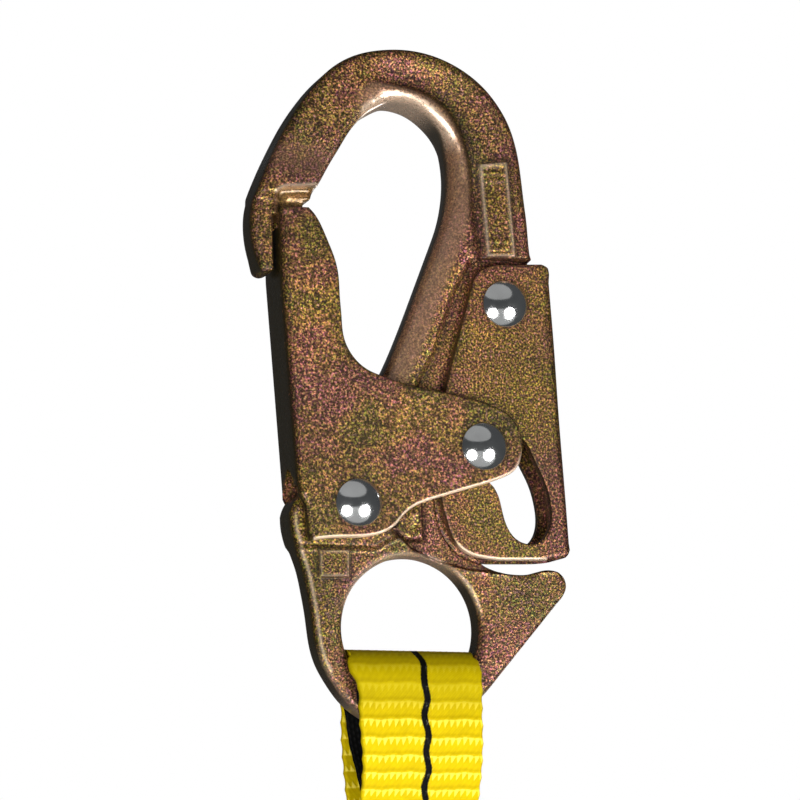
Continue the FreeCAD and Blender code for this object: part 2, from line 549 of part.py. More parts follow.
# moulded nozzle round the line
nz_out = block("nozzle_block", CX, 0, TOP - 7.4, 31.4, 8.6, 7.4)
keep("nozzle", cut("nozzle_cut", nz_out, block("nozzle_slot", CX, 0, TOP - 12, 26.0, 3.0, 20)))


# frame: two steel plates joined by two tie rods and the foot block
TIES = [(33.3 * math.cos(math.radians(a_)), SPOOL_Z + 33.3 * math.sin(math.radians(a_))) for a_ in (50, 130)]


def plate(name, x):
    b = new_body(name)
    sk = new_sketch(b, name + "Outline", role="YZ_Plane", offset="%s" % x)
    outline(sk, [arc_pts(36.0, 0, SPOOL_Z, -12, 192, 16),
                 [(-36.0 * math.cos(math.radians(12)), SPOOL_Z - 36.0 * math.sin(math.radians(12))),
                  (-11.0, BOT + 10.0)], [(-11.0, BOT + 10.0), (11.0, BOT + 10.0)],
                 [(11.0, BOT + 10.0),
                  (36.0 * math.cos(math.radians(12)), SPOOL_Z - 36.0 * math.sin(math.radians(12)))]])
    pad(b, sk, name + "Pad", "Spreadsheet.plate_thick", symmetric=False)
    sk = new_sketch(b, name + "Bores", role="YZ_Plane", offset="%s" % x)
    circle(sk, 0.0, SPOOL_Z, D["shaft_radius"] + 0.06, None, "spool_z", None)
    for y, z in TIES:
        circle(sk, y, z, 2.0)
    pocket(b, sk, name + "Holes", "20")
    return b


plate("frame_plate_left", CX - 17.5)
plate("frame_plate_right", CX + 15.0)
blk = block("foot_raw", CX, 0, BOT + 12.0, 29.8, 20.0, 12.0)
bore = doc.addObject("Part::Cylinder", "foot_bore")
bore.Radius, bore.Height = 5.05, 30
bore.Placement = FreeCAD.Placement(V(CX, 0, BOT), FreeCAD.Rotation())
keep("foot_block", cut("foot_cut", blk, bore))
tie = doc.addObject("Part::Compound", "frame_ties")
tie.Links = [rod_x("tie_%d" % k, CX - 17.5, CX + 17.5, y, z, 2.0) for k, (y, z) in enumerate(TIES)]
keep("frame_ties", tie)

# spool keyed to the shaft, which turns in the two plates
keep("spool_shaft", rod_x("spool_shaft_rod", CX - 24.0, CX + 24.0, 0, SPOOL_Z, D["shaft_radius"], "shaft_radius"))
hub = rod_x("hub", CX - 14.4, CX + 14.4, 0, SPOOL_Z, D["hub_radius"], "hub_radius")
fl1 = rod_x("flange_a", CX - 14.4, CX - 12.9, 0, SPOOL_Z, D["flange_radius"], "flange_radius")
fl2 = rod_x("flange_b", CX + 12.9, CX + 14.4, 0, SPOOL_Z, D["flange_radius"], "flange_radius")
keep("spool", cut("spool_cut", fuse("spool_raw", [hub, fl1, fl2]),
                  rod_x("spool_bore", CX - 20, CX + 20, 0, SPOOL_Z, D["shaft_radius"], "shaft_radius")))
keep("webbing_roll", cut("roll_cut", rod_x("roll_out", CX - 12.5, CX + 12.5, 0, SPOOL_Z, ROLL_R, "roll_radius"),
                         rod_x("roll_in", CX - 20, CX + 20, 0, SPOOL_Z, D["hub_radius"], "hub_radius")))
# power spring in its cup on the left plate
keep("spring_cup", cut("cup_cut", rod_x("cup_out", CX - 24.6, CX - 17.5, 0, SPOOL_Z, 27.0),
                       fuse("cup_tools", [rod_x("cup_in", CX - 24.0, CX - 16.0, 0, SPOOL_Z, 26.0),
                                          rod_x("cup_eye", CX - 30.0, CX - 20.0, 0, SPOOL_Z, 7.0)])))
keep("power_spring", cut("pspring_cut", rod_x("pspring_out", CX - 23.6, CX - 17.9, 0, SPOOL_Z, 25.4),
                         rod_x("pspring_in", CX - 30, CX - 10, 0, SPOOL_Z, 9.0)))

# ratchet ring fixed to the right plate, pawls on a carrier that turns with the spool
ring = new_body("ratchet_ring")
sk = new_sketch(ring, "RatchetProfile", role="YZ_Plane", offset="Spreadsheet.web_cx + 17.5")
circle(sk, 0.0, SPOOL_Z, 27.0, None, "spool_z", None)
teeth = []
N_TEETH = 8
for k in range(N_TEETH):
    a0 = 360.0 * k / N_TEETH
    for r_, da in ((20.5, 0.0), (24.0, 1.0), (21.0, 30.0)):
        a = math.radians(a0 + da)
        teeth.append((r_ * math.cos(a), SPOOL_Z + r_ * math.sin(a)))
polygon(sk, teeth)
pad(ring, sk, "RatchetPad", "6", symmetric=False)

PAWL = [(10.53, 16.86), (14.2, 10.0), (15.2, 3.5), (14.2, -0.2), (11.0, -0.6), (9.6, 2.0), (9.2, 9.0), (7.6, 16.0)]
PAWL_PIVOT = (12.31, 2.17)
for name, sgn in (("pawl_a", 1), ("pawl_b", -1)):
    b = new_body(name)
    sk = new_sketch(b, name + "Profile", role="YZ_Plane", offset="Spreadsheet.web_cx + 19.6")
    polygon(sk, [(sgn * y, SPOOL_Z + sgn * z) for y, z in PAWL])
    circle(sk, sgn * PAWL_PIVOT[0], SPOOL_Z + sgn * PAWL_PIVOT[1], 1.55)
    pad(b, sk, name + "Pad", "3", symmetric=False)
disc = rod_x("carrier_disc", CX + 17.9, CX + 19.4, 0, SPOOL_Z, 17.0)
pins = [rod_x("carrier_pin%d" % k, CX + 19.0, CX + 22.9, q * PAWL_PIVOT[0], SPOOL_Z + q * PAWL_PIVOT[1], 1.5)
        for k, q in enumerate((1, -1))]
keep("pawl_carrier", cut("carrier_cut", fuse("carrier_raw", [disc] + pins),
                         rod_x("carrier_bore", CX + 10, CX + 30, 0, SPOOL_Z, D["shaft_radius"], "shaft_radius")))

doc.recompute()
anchor_stud = doc.addObject("Part::Cylinder", "stud")
anchor_stud.Radius, anchor_stud.Height = 5.0, 34.0
anchor_stud.Placement = FreeCAD.Placement(V(CX, 0, BOT - 8.0), FreeCAD.Rotation())
stud_head = doc.addObject("Part::Cylinder", "stud_head")
stud_head.Radius, stud_head.Height = 8.0, 4.0
stud_head.Placement = FreeCAD.Placement(V(CX, 0, BOT + 24.1), FreeCAD.Rotation())
eye = doc.addObject("Part::Torus", "eye_ring")
eye.Radius1, eye.Radius2 = 15.0, 4.5
eye.Placement = FreeCAD.Placement(V(CX, 0, BOT - 24.0), FreeCAD.Rotation(V(1, 0, 0), 90))
keep("swivel_eye", fuse("swivel_eye_raw", [anchor_stud, stud_head, eye]))

# ------------------------------------------------------------ check and write
doc.recompute()
os.makedirs("parts", exist_ok=True)
bad = []
for o in doc.Objects:
    if any(flag in ("Invalid", "Error") for flag in o.State):
        bad.append("%s: %s" % (o.Name, o.State))
for name, o in MADE:
    want = {"cover_screws": 4, "frame_ties": 2, "loop_stitching": 11}.get(name, 1)
    if o.Shape.isNull() or not o.Shape.isValid() or o.Shape.Volume <= 0 or len(o.Shape.Solids) != want:
        bad.append("%s: shape null=%s valid=%s solids=%d" % (name, o.Shape.isNull(), o.Shape.isValid(),
                                                             len(o.Shape.Solids)))
if bad:
    raise SystemExit("failed: " + "; ".join(bad))
for name, o in MADE:
    o.Shape.exportStep("parts/%s.step" % name)
    bb = o.Shape.BoundBox
    print("%-22s vol %9.1f  x %.1f..%.1f y %.1f..%.1f z %.1f..%.1f" % (
        name, o.Shape.Volume, bb.XMin, bb.XMax, bb.YMin, bb.YMax, bb.ZMin, bb.ZMax))
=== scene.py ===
import bpy
import math
import numpy as np
from mathutils import Matrix, Vector, noise
from mathutils.geometry import delaunay_2d_cdt
from mathutils.kdtree import KDTree


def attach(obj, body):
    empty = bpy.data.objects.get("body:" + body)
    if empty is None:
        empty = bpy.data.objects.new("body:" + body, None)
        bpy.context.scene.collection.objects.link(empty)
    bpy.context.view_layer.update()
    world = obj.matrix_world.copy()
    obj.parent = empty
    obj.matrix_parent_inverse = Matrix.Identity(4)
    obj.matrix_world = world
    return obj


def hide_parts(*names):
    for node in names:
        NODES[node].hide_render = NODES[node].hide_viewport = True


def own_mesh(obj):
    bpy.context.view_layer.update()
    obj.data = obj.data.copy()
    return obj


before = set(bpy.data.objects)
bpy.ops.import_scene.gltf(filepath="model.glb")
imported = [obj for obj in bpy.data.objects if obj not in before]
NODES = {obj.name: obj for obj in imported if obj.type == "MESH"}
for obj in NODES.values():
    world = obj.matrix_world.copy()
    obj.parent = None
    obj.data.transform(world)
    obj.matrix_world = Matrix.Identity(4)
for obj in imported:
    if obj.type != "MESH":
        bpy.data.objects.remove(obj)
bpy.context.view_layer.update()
MM = 0.001

# ------------------------------------------------------------------ camera
cam_data = bpy.data.cameras.new("Camera")
cam_data.sensor_width = 36.0
cam_data.lens = 140.4
cam_data.clip_start, cam_data.clip_end = 0.01, 20.0
cam = bpy.data.objects.new("Camera", cam_data)
bpy.context.scene.collection.objects.link(cam)
fwd = Vector((0.28916, 0.94580, 0.14781)).normalized()
rgt = Vector((0.95630, -0.29237, 0.0)).normalized()
upv = rgt.cross(fwd).normalized()
eye = Vector((-170.238, -567.480, -146.233)) * MM
cam.matrix_world = Matrix(((rgt.x, upv.x, -fwd.x, eye.x), (rgt.y, upv.y, -fwd.y, eye.y),
                           (rgt.z, upv.z, -fwd.z, eye.z), (0, 0, 0, 1)))
bpy.context.scene.camera = cam


# ----------------------------------------------------------------- helpers
def spline(pts, step=0.3):
    """Natural cubic through the points, resampled every step mm."""
    P = np.array(pts, float)
    if len(P) == 2:
        n = max(2, int(round(np.linalg.norm(P[1] - P[0]) / step)) + 1)
        t = np.linspace(0, 1, n)[:, None]
        return P[0] * (1 - t) + P[1] * t
    t = np.concatenate([[0], np.cumsum(np.linalg.norm(np.diff(P, axis=0), axis=1))])
    n = len(P)
    h = np.diff(t)
    A = np.zeros((n, n))
    B = np.zeros((n, 2))
    A[0, 0] = A[-1, -1] = 1
    for i in range(1, n - 1):
        A[i, i - 1], A[i, i], A[i, i + 1] = h[i - 1], 2 * (h[i - 1] + h[i]), h[i]
        B[i] = 6 * ((P[i + 1] - P[i]) / h[i] - (P[i] - P[i - 1]) / h[i - 1])
    M = np.linalg.solve(A, B)
    T = np.linspace(0, t[-1], max(3, int(round(t[-1] / step)) + 1))
    k = np.clip(np.searchsorted(t, T, side="right") - 1, 0, n - 2)
    a, b = (t[k + 1] - T)[:, None], (T - t[k])[:, None]
    hh = h[k][:, None]
    return (M[k] * a ** 3 + M[k + 1] * b ** 3) / (6 * hh) + (P[k] / hh - M[k] * hh / 6) * a \
        + (P[k + 1] / hh - M[k + 1] * hh / 6) * b


def runs_to_loop(runs, step=0.3):
    """Closed loop from labelled runs: (points, tag) pairs; returns points and one tag per point."""
    pts, tags = [], []
    for run, tag in runs:
        s = spline(run, step)[:-1]
        pts.append(s)
        tags += [tag] * len(s)
    return np.concatenate(pts), tags


def circle_loop(cx, cz, r, step=0.3):
    n = int(2 * math.pi * r / step)
    a = np.linspace(0, 2 * math.pi, n, endpoint=False)
    return np.stack([cx + r * np.cos(a), cz + r * np.sin(a)], 1)


def inside(poly, P):
    """Even-odd test of many points against one closed loop."""
    out = np.zeros(len(P), bool)
    a, b = poly, np.roll(poly, -1, axis=0)
    for s in range(0, len(P), 4000):
        q = P[s:s + 4000]
        up = (a[None, :, 1] <= q[:, None, 1]) != (b[None, :, 1] <= q[:, None, 1])
        with np.errstate(divide="ignore", invalid="ignore"):
            xc = a[None, :, 0] + (q[:, None, 1] - a[None, :, 1]) * (b - a)[None, :, 0] / (b - a)[None, :, 1]
        out[s:s + 4000] = (np.sum(up & (q[:, None, 0] < xc), axis=1) % 2) == 1
    return out


def seg_dist(a, b, P):
    """Distance from each point to the nearest of the segments a-b."""
    out = np.full(len(P), 1e9)
    d = b - a
    L = np.maximum((d ** 2).sum(1), 1e-12)
    for s in range(0, len(P), 4000):
        q = P[s:s + 4000]
        t = np.clip(((q[:, None] - a[None]) * d[None]).sum(2) / L[None], 0, 1)
        e = q[:, None] - a[None] - d[None] * t[..., None]
        out[s:s + 4000] = np.sqrt((e ** 2).sum(2)).min(1)
    return out


def poly_sd(pts, P):
    """Signed distance to a polygon, positive inside."""
    a = np.array(pts, float)
    d = seg_dist(a, np.roll(a, -1, axis=0), P)
    return np.where(inside(a, P), d, -d)


def line_d(pts, P):
    a = np.array(pts, float)
    return seg_dist(a[:-1], a[1:], P)


def ss(t):
    t = np.clip(t, 0.0, 1.0)
    return t * t * (3 - 2 * t)


def link(name, mesh):
    o = bpy.data.objects.new(name, mesh)
    bpy.context.scene.collection.objects.link(o)
    return o


def make_mesh(name, V, F, smooth=True):
    me = bpy.data.meshes.new(name)
    me.from_pydata([tuple(v) for v in np.asarray(V, float) * MM], [], F)
    me.update()
    if smooth:
        me.polygons.foreach_set("use_smooth", [True] * len(me.polygons))
    return me


def pillow(name, loops, radii, height, grid=0.5, rings=(0.1, 0.3, 0.6, 1.0, 1.5, 2.1, 2.8), extra=(), gap=0.09,
           attrs=None, bumps=None):
    """Solid between two mirrored skins y = -h and +h over a flat outline.

    loops: closed loops, the first the outline and the rest holes; radii: one edge radius per loop
    point; height(P): half thickness; extra: feature points that the skin should follow.
    """
    loops = [np.asarray(l, float) for l in loops]
    pts, seen = [], {}

    def add(p, force=False, tol=gap):
        key = (int(math.floor(p[0] / gap)), int(math.floor(p[1] / gap)))
        if not force:
            for i in (-1, 0, 1):
                for j in (-1, 0, 1):
                    for q in seen.get((key[0] + i, key[1] + j), ()):
                        if (q[0] - p[0]) ** 2 + (q[1] - p[1]) ** 2 < tol * tol:
                            return
        seen.setdefault(key, []).append((p[0], p[1]))
        pts.append((float(p[0]), float(p[1])))

    edges = []
    for l in loops:
        base = len(pts)
        for p in l:
            add(p, True)
        edges += [(base + i, base + (i + 1) % len(l)) for i in range(len(l))]
    allp = np.concatenate(loops)
    allr = np.concatenate([np.asarray(r, float) for r in radii])
    nxt = np.concatenate([np.roll(l, -1, axis=0) for l in loops])
    prv = np.concatenate([np.roll(l, 1, axis=0) for l in loops])
    tree = KDTree(len(allp))
    for i, p in enumerate(allp):
        tree.insert((p[0], p[1], 0), i)
    tree.balance()

    def edge_dist(P):
        d, r = np.empty(len(P)), np.empty(len(P))
        near = np.array([tree.find((p[0], p[1], 0))[1] for p in P])
        d = np.full(len(P), 1e9)
        for a, b in ((allp[near], nxt[near]), (prv[near], allp[near])):
            e = b - a
            t = np.clip(((P - a) * e).sum(1) / np.maximum((e ** 2).sum(1), 1e-12), 0, 1)
            d = np.minimum(d, np.linalg.norm(P - a - e * t[:, None], axis=1))
        return d, allr[near]

    for l in loops:
        t = np.roll(l, -1, axis=0) - np.roll(l, 1, axis=0)
        t /= np.linalg.norm(t, axis=1)[:, None] + 1e-12
        nrm = np.stack([-t[:, 1], t[:, 0]], 1)
        area = 0.5 * np.sum(l[:, 0] * np.roll(l[:, 1], -1) - np.roll(l[:, 0], -1) * l[:, 1])
        if (area < 0) != (l is not loops[0]):
            nrm = -nrm
        for k, off in enumerate(rings):
            step = max(1, int(round(0.6 * off)))
            q = (l + nrm * off)[(k % 2)::step]
            d, _ = edge_dist(q)
            for p, dd in zip(q, d):
                if dd > off * 0.96 - 0.01:
                    add(p)
    for q in extra:
        q = np.asarray(q, float)
        ok = inside(loops[0], q)
        for h in loops[1:]:
            ok &= ~inside(h, q)
        q = q[ok]
        if len(q):
            d, _ = edge_dist(q)
            for p, dd in zip(q, d):
                if dd > gap:
                    add(p, tol=gap * 0.8)
    lo, hi = loops[0].min(0), loops[0].max(0)
    rows = np.arange(lo[1] + grid / 2, hi[1], grid * 0.866)
    G = []
    for k, z in enumerate(rows):
        xs = np.arange(lo[0] + (grid / 2 if k % 2 else 0.0), hi[0], grid)
        G.append(np.stack([xs, np.full(len(xs), z)], 1))
    G = np.concatenate(G)
    ok = inside(loops[0], G)
    for h in loops[1:]:
        ok &= ~inside(h, G)
    G = G[ok]
    d, _ = edge_dist(G)
    for p, dd in zip(G, d):
        if dd > 0.25:
            add(p, tol=min(grid * 0.45, 0.3))
    out = delaunay_2d_cdt([Vector(p) for p in pts], edges, [], 0, 1e-6)
    P = np.array([(v.x, v.y) for v in out[0]])
    T = np.array([f for f in out[2] if len(f) == 3])
    c = P[T].mean(1)
    keep = inside(loops[0], c)
    for h in loops[1:]:
        keep &= ~inside(h, c)
    T = T[keep]
    e1, e2 = P[T[:, 1]] - P[T[:, 0]], P[T[:, 2]] - P[T[:, 0]]
    cr = e1[:, 0] * e2[:, 1] - e1[:, 1] * e2[:, 0]
    T[cr < 0] = T[cr < 0][:, ::-1]
    T = T[np.abs(cr) > 1e-9]
    used = np.zeros(len(P), bool)
    used[T.ravel()] = True
    remap = np.cumsum(used) - 1
    P, T = P[used], remap[T]
    d, r = edge_dist(P)
    d[d < 0.004] = 0.0
    H = height(P)
    r = np.minimum(r, H * 0.8)
    drop = np.where(d < r, r - np.sqrt(np.maximum(r * r - (r - np.minimum(d, r)) ** 2, 0)), 0.0)
    Y = np.maximum(H - drop, 0.2)
    if bumps is not None:
        Y = Y + bumps(P, d)
    n = len(P)
    V = np.concatenate([np.stack([P[:, 0], -Y, P[:, 1]], 1), np.stack([P[:, 0], Y, P[:, 1]], 1)])
    # seen from -Y with x right and z up, counter-clockwise triangles face the front
    F = [tuple(t) for t in T.tolist()] + [(t[2] + n, t[1] + n, t[0] + n) for t in T.tolist()]
    cnt = {}
    for t in T.tolist():
        for i in range(3):
            cnt[(t[i], t[(i + 1) % 3])] = 1
    border = [(a, b) for (a, b) in cnt if (b, a) not in cnt]
    lev = 4
    extra_v, row = [], {}
    for a, b in border:
        for v in (a, b):
            if v not in row:
                ids = [v]
                for k in range(1, lev):
                    f = k / lev
                    ids.append(2 * n + len(extra_v))
                    extra_v.append((P[v, 0], -Y[v] + 2 * Y[v] * f, P[v, 1]))
                ids.append(v + n)
                row[v] = ids
    for a, b in border:
        ra, rb = row[a], row[b]
        for k in range(lev):
            F.append((ra[k], ra[k + 1], rb[k + 1], rb[k]))
    V = np.concatenate([V, np.array(extra_v)]) if extra_v else V
    me = make_mesh(name, V, F)
    values = {}
    if attrs:
        for key, fn in attrs.items():
            a = fn(P, d, r)
            values[key] = np.concatenate([a, a, [a[v] for v in row for _ in range(lev - 1)]])
        for key, a in values.items():
            at = me.attributes.new(key, "FLOAT", "POINT")
            at.data.foreach_set("value", a.astype(np.float32))
    return me


def prism(name, pts, y0, y1):
    """Plain prism from a closed x,z polygon, used only as a cutting tool."""
    n = len(pts)
    V = [(x, y0, z) for x, z in pts] + [(x, y1, z) for x, z in pts]
    F = [tuple(range(n)), tuple(range(2 * n - 1, n - 1, -1))] + \
        [(i, n + i, n + (i + 1) % n, (i + 1) % n) for i in range(n)]
    me = make_mesh(name, V, F, smooth=False)
    o = link(name, me)
    fix_normals(me)
    return o


def fix_normals(me):
    import bmesh
    bm = bmesh.new()
    bm.from_mesh(me)
    bmesh.ops.recalc_face_normals(bm, faces=bm.faces[:])
    bm.to_mesh(me)
    bm.free()


def carve(obj, tools):
    """Exact boolean difference, applied at once, and the tools removed."""
    for k, t in enumerate(tools):
        m = obj.modifiers.new("cut%d" % k, "BOOLEAN")
        m.operation, m.solver, m.object = "DIFFERENCE", "EXACT", t
    dg = bpy.context.evaluated_depsgraph_get()
    me = bpy.data.meshes.new_from_object(obj.evaluated_get(dg))
    obj.modifiers.clear()
    old = obj.data
    obj.data = me
    bpy.data.meshes.remove(old)
    for t in tools:
        m = t.data
        bpy.data.objects.remove(t)
        bpy.data.meshes.remove(m)


def crisp(me, angle=32.0):
    """Sharp edges where faces meet at more than the angle, smooth elsewhere."""
    me.polygons.foreach_set("use_smooth", [True] * len(me.polygons))
    me.set_sharp_from_angle(angle=math.radians(angle))


def wall_attr(me, amount=1.0, onset=0.62):
    """1 on side faces that look left or up; the material paints these near black as painted shade and keeps them
    smooth.
    """
    n = len(me.vertices)
    N = np.empty(n * 3, np.float32)
    me.vertex_normals.foreach_get("vector", N)
    N = N.reshape(-1, 3).astype(float)
    w = ss((onset - np.abs(N[:, 1])) / 0.32) * ss(0.35 + (-N[:, 0] + 0.75 * N[:, 2]) / 0.7)
    at = me.attributes.get("wall") or me.attributes.new("wall", "FLOAT", "POINT")
    at.data.foreach_set("value", (amount * w).astype(np.float32))


def wob(P, scale, amp, seed):
    return np.array([noise.noise(Vector((p[0] * scale + seed, p[1] * scale - seed, seed * 1.7))) for p in P]) * amp


# --------------------------------------------------------------- materials
class Mat:
    """Thin wrapper that writes a node tree; the principled shader is self.b."""

    def __init__(self, name, base, rough, metal=0.0, **inputs):
        self.m = bpy.data.materials.new(name)
        self.m.use_nodes = True
        self.t = self.m.node_tree
        self.t.nodes.clear()
        self.out = self.t.nodes.new("ShaderNodeOutputMaterial")
        self.b = self.t.nodes.new("ShaderNodeBsdfPrincipled")
        self.t.links.new(self.b.outputs[0], self.out.inputs[0])
        self.b.inputs["Base Color"].default_value = (*base, 1)
        self.b.inputs["Roughness"].default_value = rough
        self.b.inputs["Metallic"].default_value = metal
        for k, v in inputs.items():
            self.b.inputs[k.replace("_", " ")].default_value = v
        self.co = self.t.nodes.new("ShaderNodeTexCoord").outputs["Object"]

    def n(self, kind, **props):
        node = self.t.nodes.new(kind)
        for k, v in props.items():
            setattr(node, k, v)
        return node

    def l(self, a, b):
        self.t.links.new(a, b)

    def noise(self, scale, detail=2.0, rough=0.5, offset=None, co=None, distortion=0.0):
        node = self.n("ShaderNodeTexNoise")
        node.inputs["Scale"].default_value = scale
        node.inputs["Detail"].default_value = detail
        node.inputs["Roughness"].default_value = rough
        node.inputs["Distortion"].default_value = distortion
        src = co or self.co
        if offset is not None:
            mp = self.n("ShaderNodeMapping")
            mp.inputs["Location"].default_value = offset
            self.l(src, mp.inputs["Vector"])
            src = mp.outputs[0]
        self.l(src, node.inputs["Vector"])
        return node.outputs["Fac"]

    def math(self, op, a, b=None, c=None, clamp=False):
        node = self.n("ShaderNodeMath", operation=op, use_clamp=clamp)
        for i, v in enumerate((a, b, c)):
            if v is None:
                continue
            if isinstance(v, (int, float)):
                node.inputs[i].default_value = v
            else:
                self.l(v, node.inputs[i])
        return node.outputs[0]

    def ramp(self, fac, stops, interp="LINEAR"):
        node = self.n("ShaderNodeValToRGB")
        node.color_ramp.interpolation = interp
        els = node.color_ramp.elements
        while len(els) > 1:
            els.remove(els[-1])
        els[0].position, els[0].color = stops[0][0], (*stops[0][1], 1)
        for p, c in stops[1:]:
            e = els.new(p)
            e.color = (*c, 1)
        self.l(fac, node.inputs[0])
        return node.outputs[0]

    def remap(self, v, a, b, c=0.0, d=1.0):
        node = self.n("ShaderNodeMapRange")
        for i, x in zip((1, 2, 3, 4), (a, b, c, d)):
            node.inputs[i].default_value = x
        self.l(v, node.inputs[0])
        return node.outputs[0]

    def mix(self, fac, a, b, blend="MIX"):
        node = self.n("ShaderNodeMix", data_type="RGBA", blend_type=blend)
        if isinstance(fac, (int, float)):
            node.inputs[0].default_value = fac
        else:
            self.l(fac, node.inputs[0])
        for i, v in ((6, a), (7, b)):
            if isinstance(v, tuple):
                node.inputs[i].default_value = (*v, 1)
            else:
                self.l(v, node.inputs[i])
        return node.outputs[2]

    def bump(self, height, dist, strength=1.0, chain=None, strength_link=None):
        node = self.n("ShaderNodeBump")
        node.inputs["Distance"].default_value = dist
        node.inputs["Strength"].default_value = strength
        if strength_link is not None:
            self.l(strength_link, node.inputs["Strength"])
        self.l(height, node.inputs["Height"])
        if chain is not None:
            self.l(chain, node.inputs["Normal"])
        return node.outputs[0]

    def attr(self, name, out="Fac"):
        node = self.n("ShaderNodeAttribute", attribute_name=name)
        return node.outputs[out]

    def xyz(self, co=None):
        node = self.n("ShaderNodeSeparateXYZ")
        self.l(co or self.co, node.inputs[0])
        return node.outputs

    def color(self, c):
        self.l(c, self.b.inputs["Base Color"])

    def rough(self, r):
        self.l(r, self.b.inputs["Roughness"])

    def normal(self, v):
        self.l(v, self.b.inputs["Normal"])


def zinc(name, grain=1.0, red=0.0, value=1.0, fine=2600.0, rough=(0.38, 0.55)):
    """Yellow zinc-chromate over shot-blasted steel: iridescent brown, pink, gold and olive speckle."""
    k = value
    m = Mat(name, (0.30 * k, 0.19 * k, 0.10 * k), 0.4, 0.62)
    speck = m.noise(fine, 1.0, 0.6)
    speck2 = m.noise(fine * 0.6, 2.0, 0.6, offset=(0.31, 0.17, 0.53))
    hue = m.noise(fine * 0.7, 1.0, 0.5, offset=(0.7, 0.2, 0.9))
    cast = m.noise(85.0, 2.5, 0.55, offset=(0.05, 0.0, 0.02))
    cast2 = m.noise(210.0, 2.0, 0.5, offset=(0.4, 0.1, 0.3))
    large = m.ramp(cast, [(0.39, (0.15 * k, 0.155 * k, 0.012 * k)), (0.46, (0.27 * k, 0.170 * k, 0.028 * k)),
                          (0.52, (0.31 * k, 0.140 * k, 0.054 * k)), (0.59, (0.28 * k, 0.084 * k, 0.092 * k))])
    if red:
        large = m.mix(red, large, (0.29 * k, 0.115 * k, 0.088 * k))
    gold = m.attr("gold")
    large = m.mix(m.math("MULTIPLY", gold, 0.85), large, (0.19 * k, 0.150 * k, 0.004 * k))
    hues = m.ramp(hue, [(0.33, (0.14 * k, 0.20 * k, 0.04 * k)), (0.43, (0.31 * k, 0.21 * k, 0.03 * k)),
                        (0.50, (0.31 * k, 0.17 * k, 0.05 * k)), (0.57, (0.38 * k, 0.13 * k, 0.09 * k)),
                        (0.67, (0.23 * k, 0.09 * k, 0.17 * k))])
    col = m.mix(0.48, large, hues)
    tide = m.noise(46.0, 2.0, 0.5, offset=(0.013, 0.0, 0.041))
    col = m.mix(1.0, col, m.ramp(tide, [(0.34, (0.74, 0.76, 0.78)), (0.5, (1.0, 1.0, 1.0)), (0.66, (1.24, 1.20, 1.12))]),
                "MULTIPLY")
    light = m.ramp(speck, [(0.33, (0.09, 0.085, 0.08)), (0.44, (0.43, 0.41, 0.40)), (0.54, (1.1, 1.06, 1.0)),
                           (0.63, (2.5, 2.4, 2.25)), (0.74, (5.2, 5.0, 4.7))])
    col = m.mix(min(1.0, 0.95 * grain), col, light, "MULTIPLY")
    r = m.remap(speck2, 0.3, 0.7, rough[0], rough[1])
    strength = m.remap(cast2, 0.3, 0.7, 0.75 * grain, 1.0 * grain)
    wear, edge, wall, painted_shade = m.attr("wear"), m.attr("edge"), m.attr("wall"), m.attr("painted_shade")
    worn = m.mix(m.math("MULTIPLY", gold, 0.8), (0.56 * k, 0.31 * k, 0.19 * k), (0.50 * k, 0.26 * k, 0.05 * k))
    worn = m.mix(0.55, worn, m.ramp(speck, [(0.36, (0.50, 0.50, 0.50)), (0.50, (1.0, 1.0, 1.0)), (0.66, (1.7, 1.6, 1.5))]),
                 "MULTIPLY")
    col = m.mix(m.math("MULTIPLY", wear, 0.70), col, worn)
    # painted shade: darkens the colour in the valley, round the pads, along zone borders, round the pivots and near
    # some edges
    col = m.mix(m.math("MULTIPLY", painted_shade, 0.8), col, m.mix(1.0, col, (0.15, 0.145, 0.09), "MULTIPLY"))
    # painted highlight: the 'edge' attribute turns downward-facing cut edges, pad rims, the shelf and the bowl fillet
    # pale, as if lit from below
    col = m.mix(m.math("MULTIPLY", edge, 0.9), col, (0.88, 0.68, 0.50))
    # painted shade: side faces turned left or up are made near black
    col = m.mix(m.math("MULTIPLY", wall, 0.93), col, (0.034, 0.025, 0.008))
    r = m.math("SUBTRACT", r, m.math("MULTIPLY", wear, 0.15))
    r = m.math("SUBTRACT", r, m.math("MULTIPLY", wall, 0.14))
    flat_ = m.math("MAXIMUM", m.math("MULTIPLY", wear, 0.6), m.math("MULTIPLY", edge, 0.7))
    flat_ = m.math("MAXIMUM", flat_, m.math("MULTIPLY", wall, 0.9))
    strength = m.math("MULTIPLY", strength, m.math("SUBTRACT", 1.0, flat_))
    m.color(col)
    m.rough(r)
    m.l(m.math("ADD", m.math("MULTIPLY", wear, 0.75), 0.05), m.b.inputs["Coat Weight"])
    m.b.inputs["Coat Roughness"].default_value = 0.24
    b1 = m.bump(speck2, 0.000085, chain=None, strength_link=strength)
    b2 = m.bump(speck, 0.00005, chain=b1, strength_link=strength)
    m.normal(b2)
    return m.m


M_FORGE = zinc("zinc_forging", red=0.32, value=0.66)
M_PLATE = zinc("zinc_plate", grain=0.95, red=0.12, value=0.60)


def brushed(name, base, rough, metal=1.0, scale=700.0, amount=0.00002, spread=0.08):
    m = Mat(name, base, rough, metal)
    a = m.noise(scale, 3.0, 0.6)
    b = m.noise(scale * 0.12, 2.0, 0.5, offset=(0.3, 0.7, 0.1))
    m.color(m.mix(m.remap(b, 0.3, 0.7), tuple(c * 0.86 for c in base), tuple(min(1.0, c * 1.05) for c in base)))
    m.rough(m.remap(a, 0.3, 0.7, max(0.03, rough - spread / 2), rough + spread))
    m.normal(m.bump(a, amount, 0.35))
    return m.m


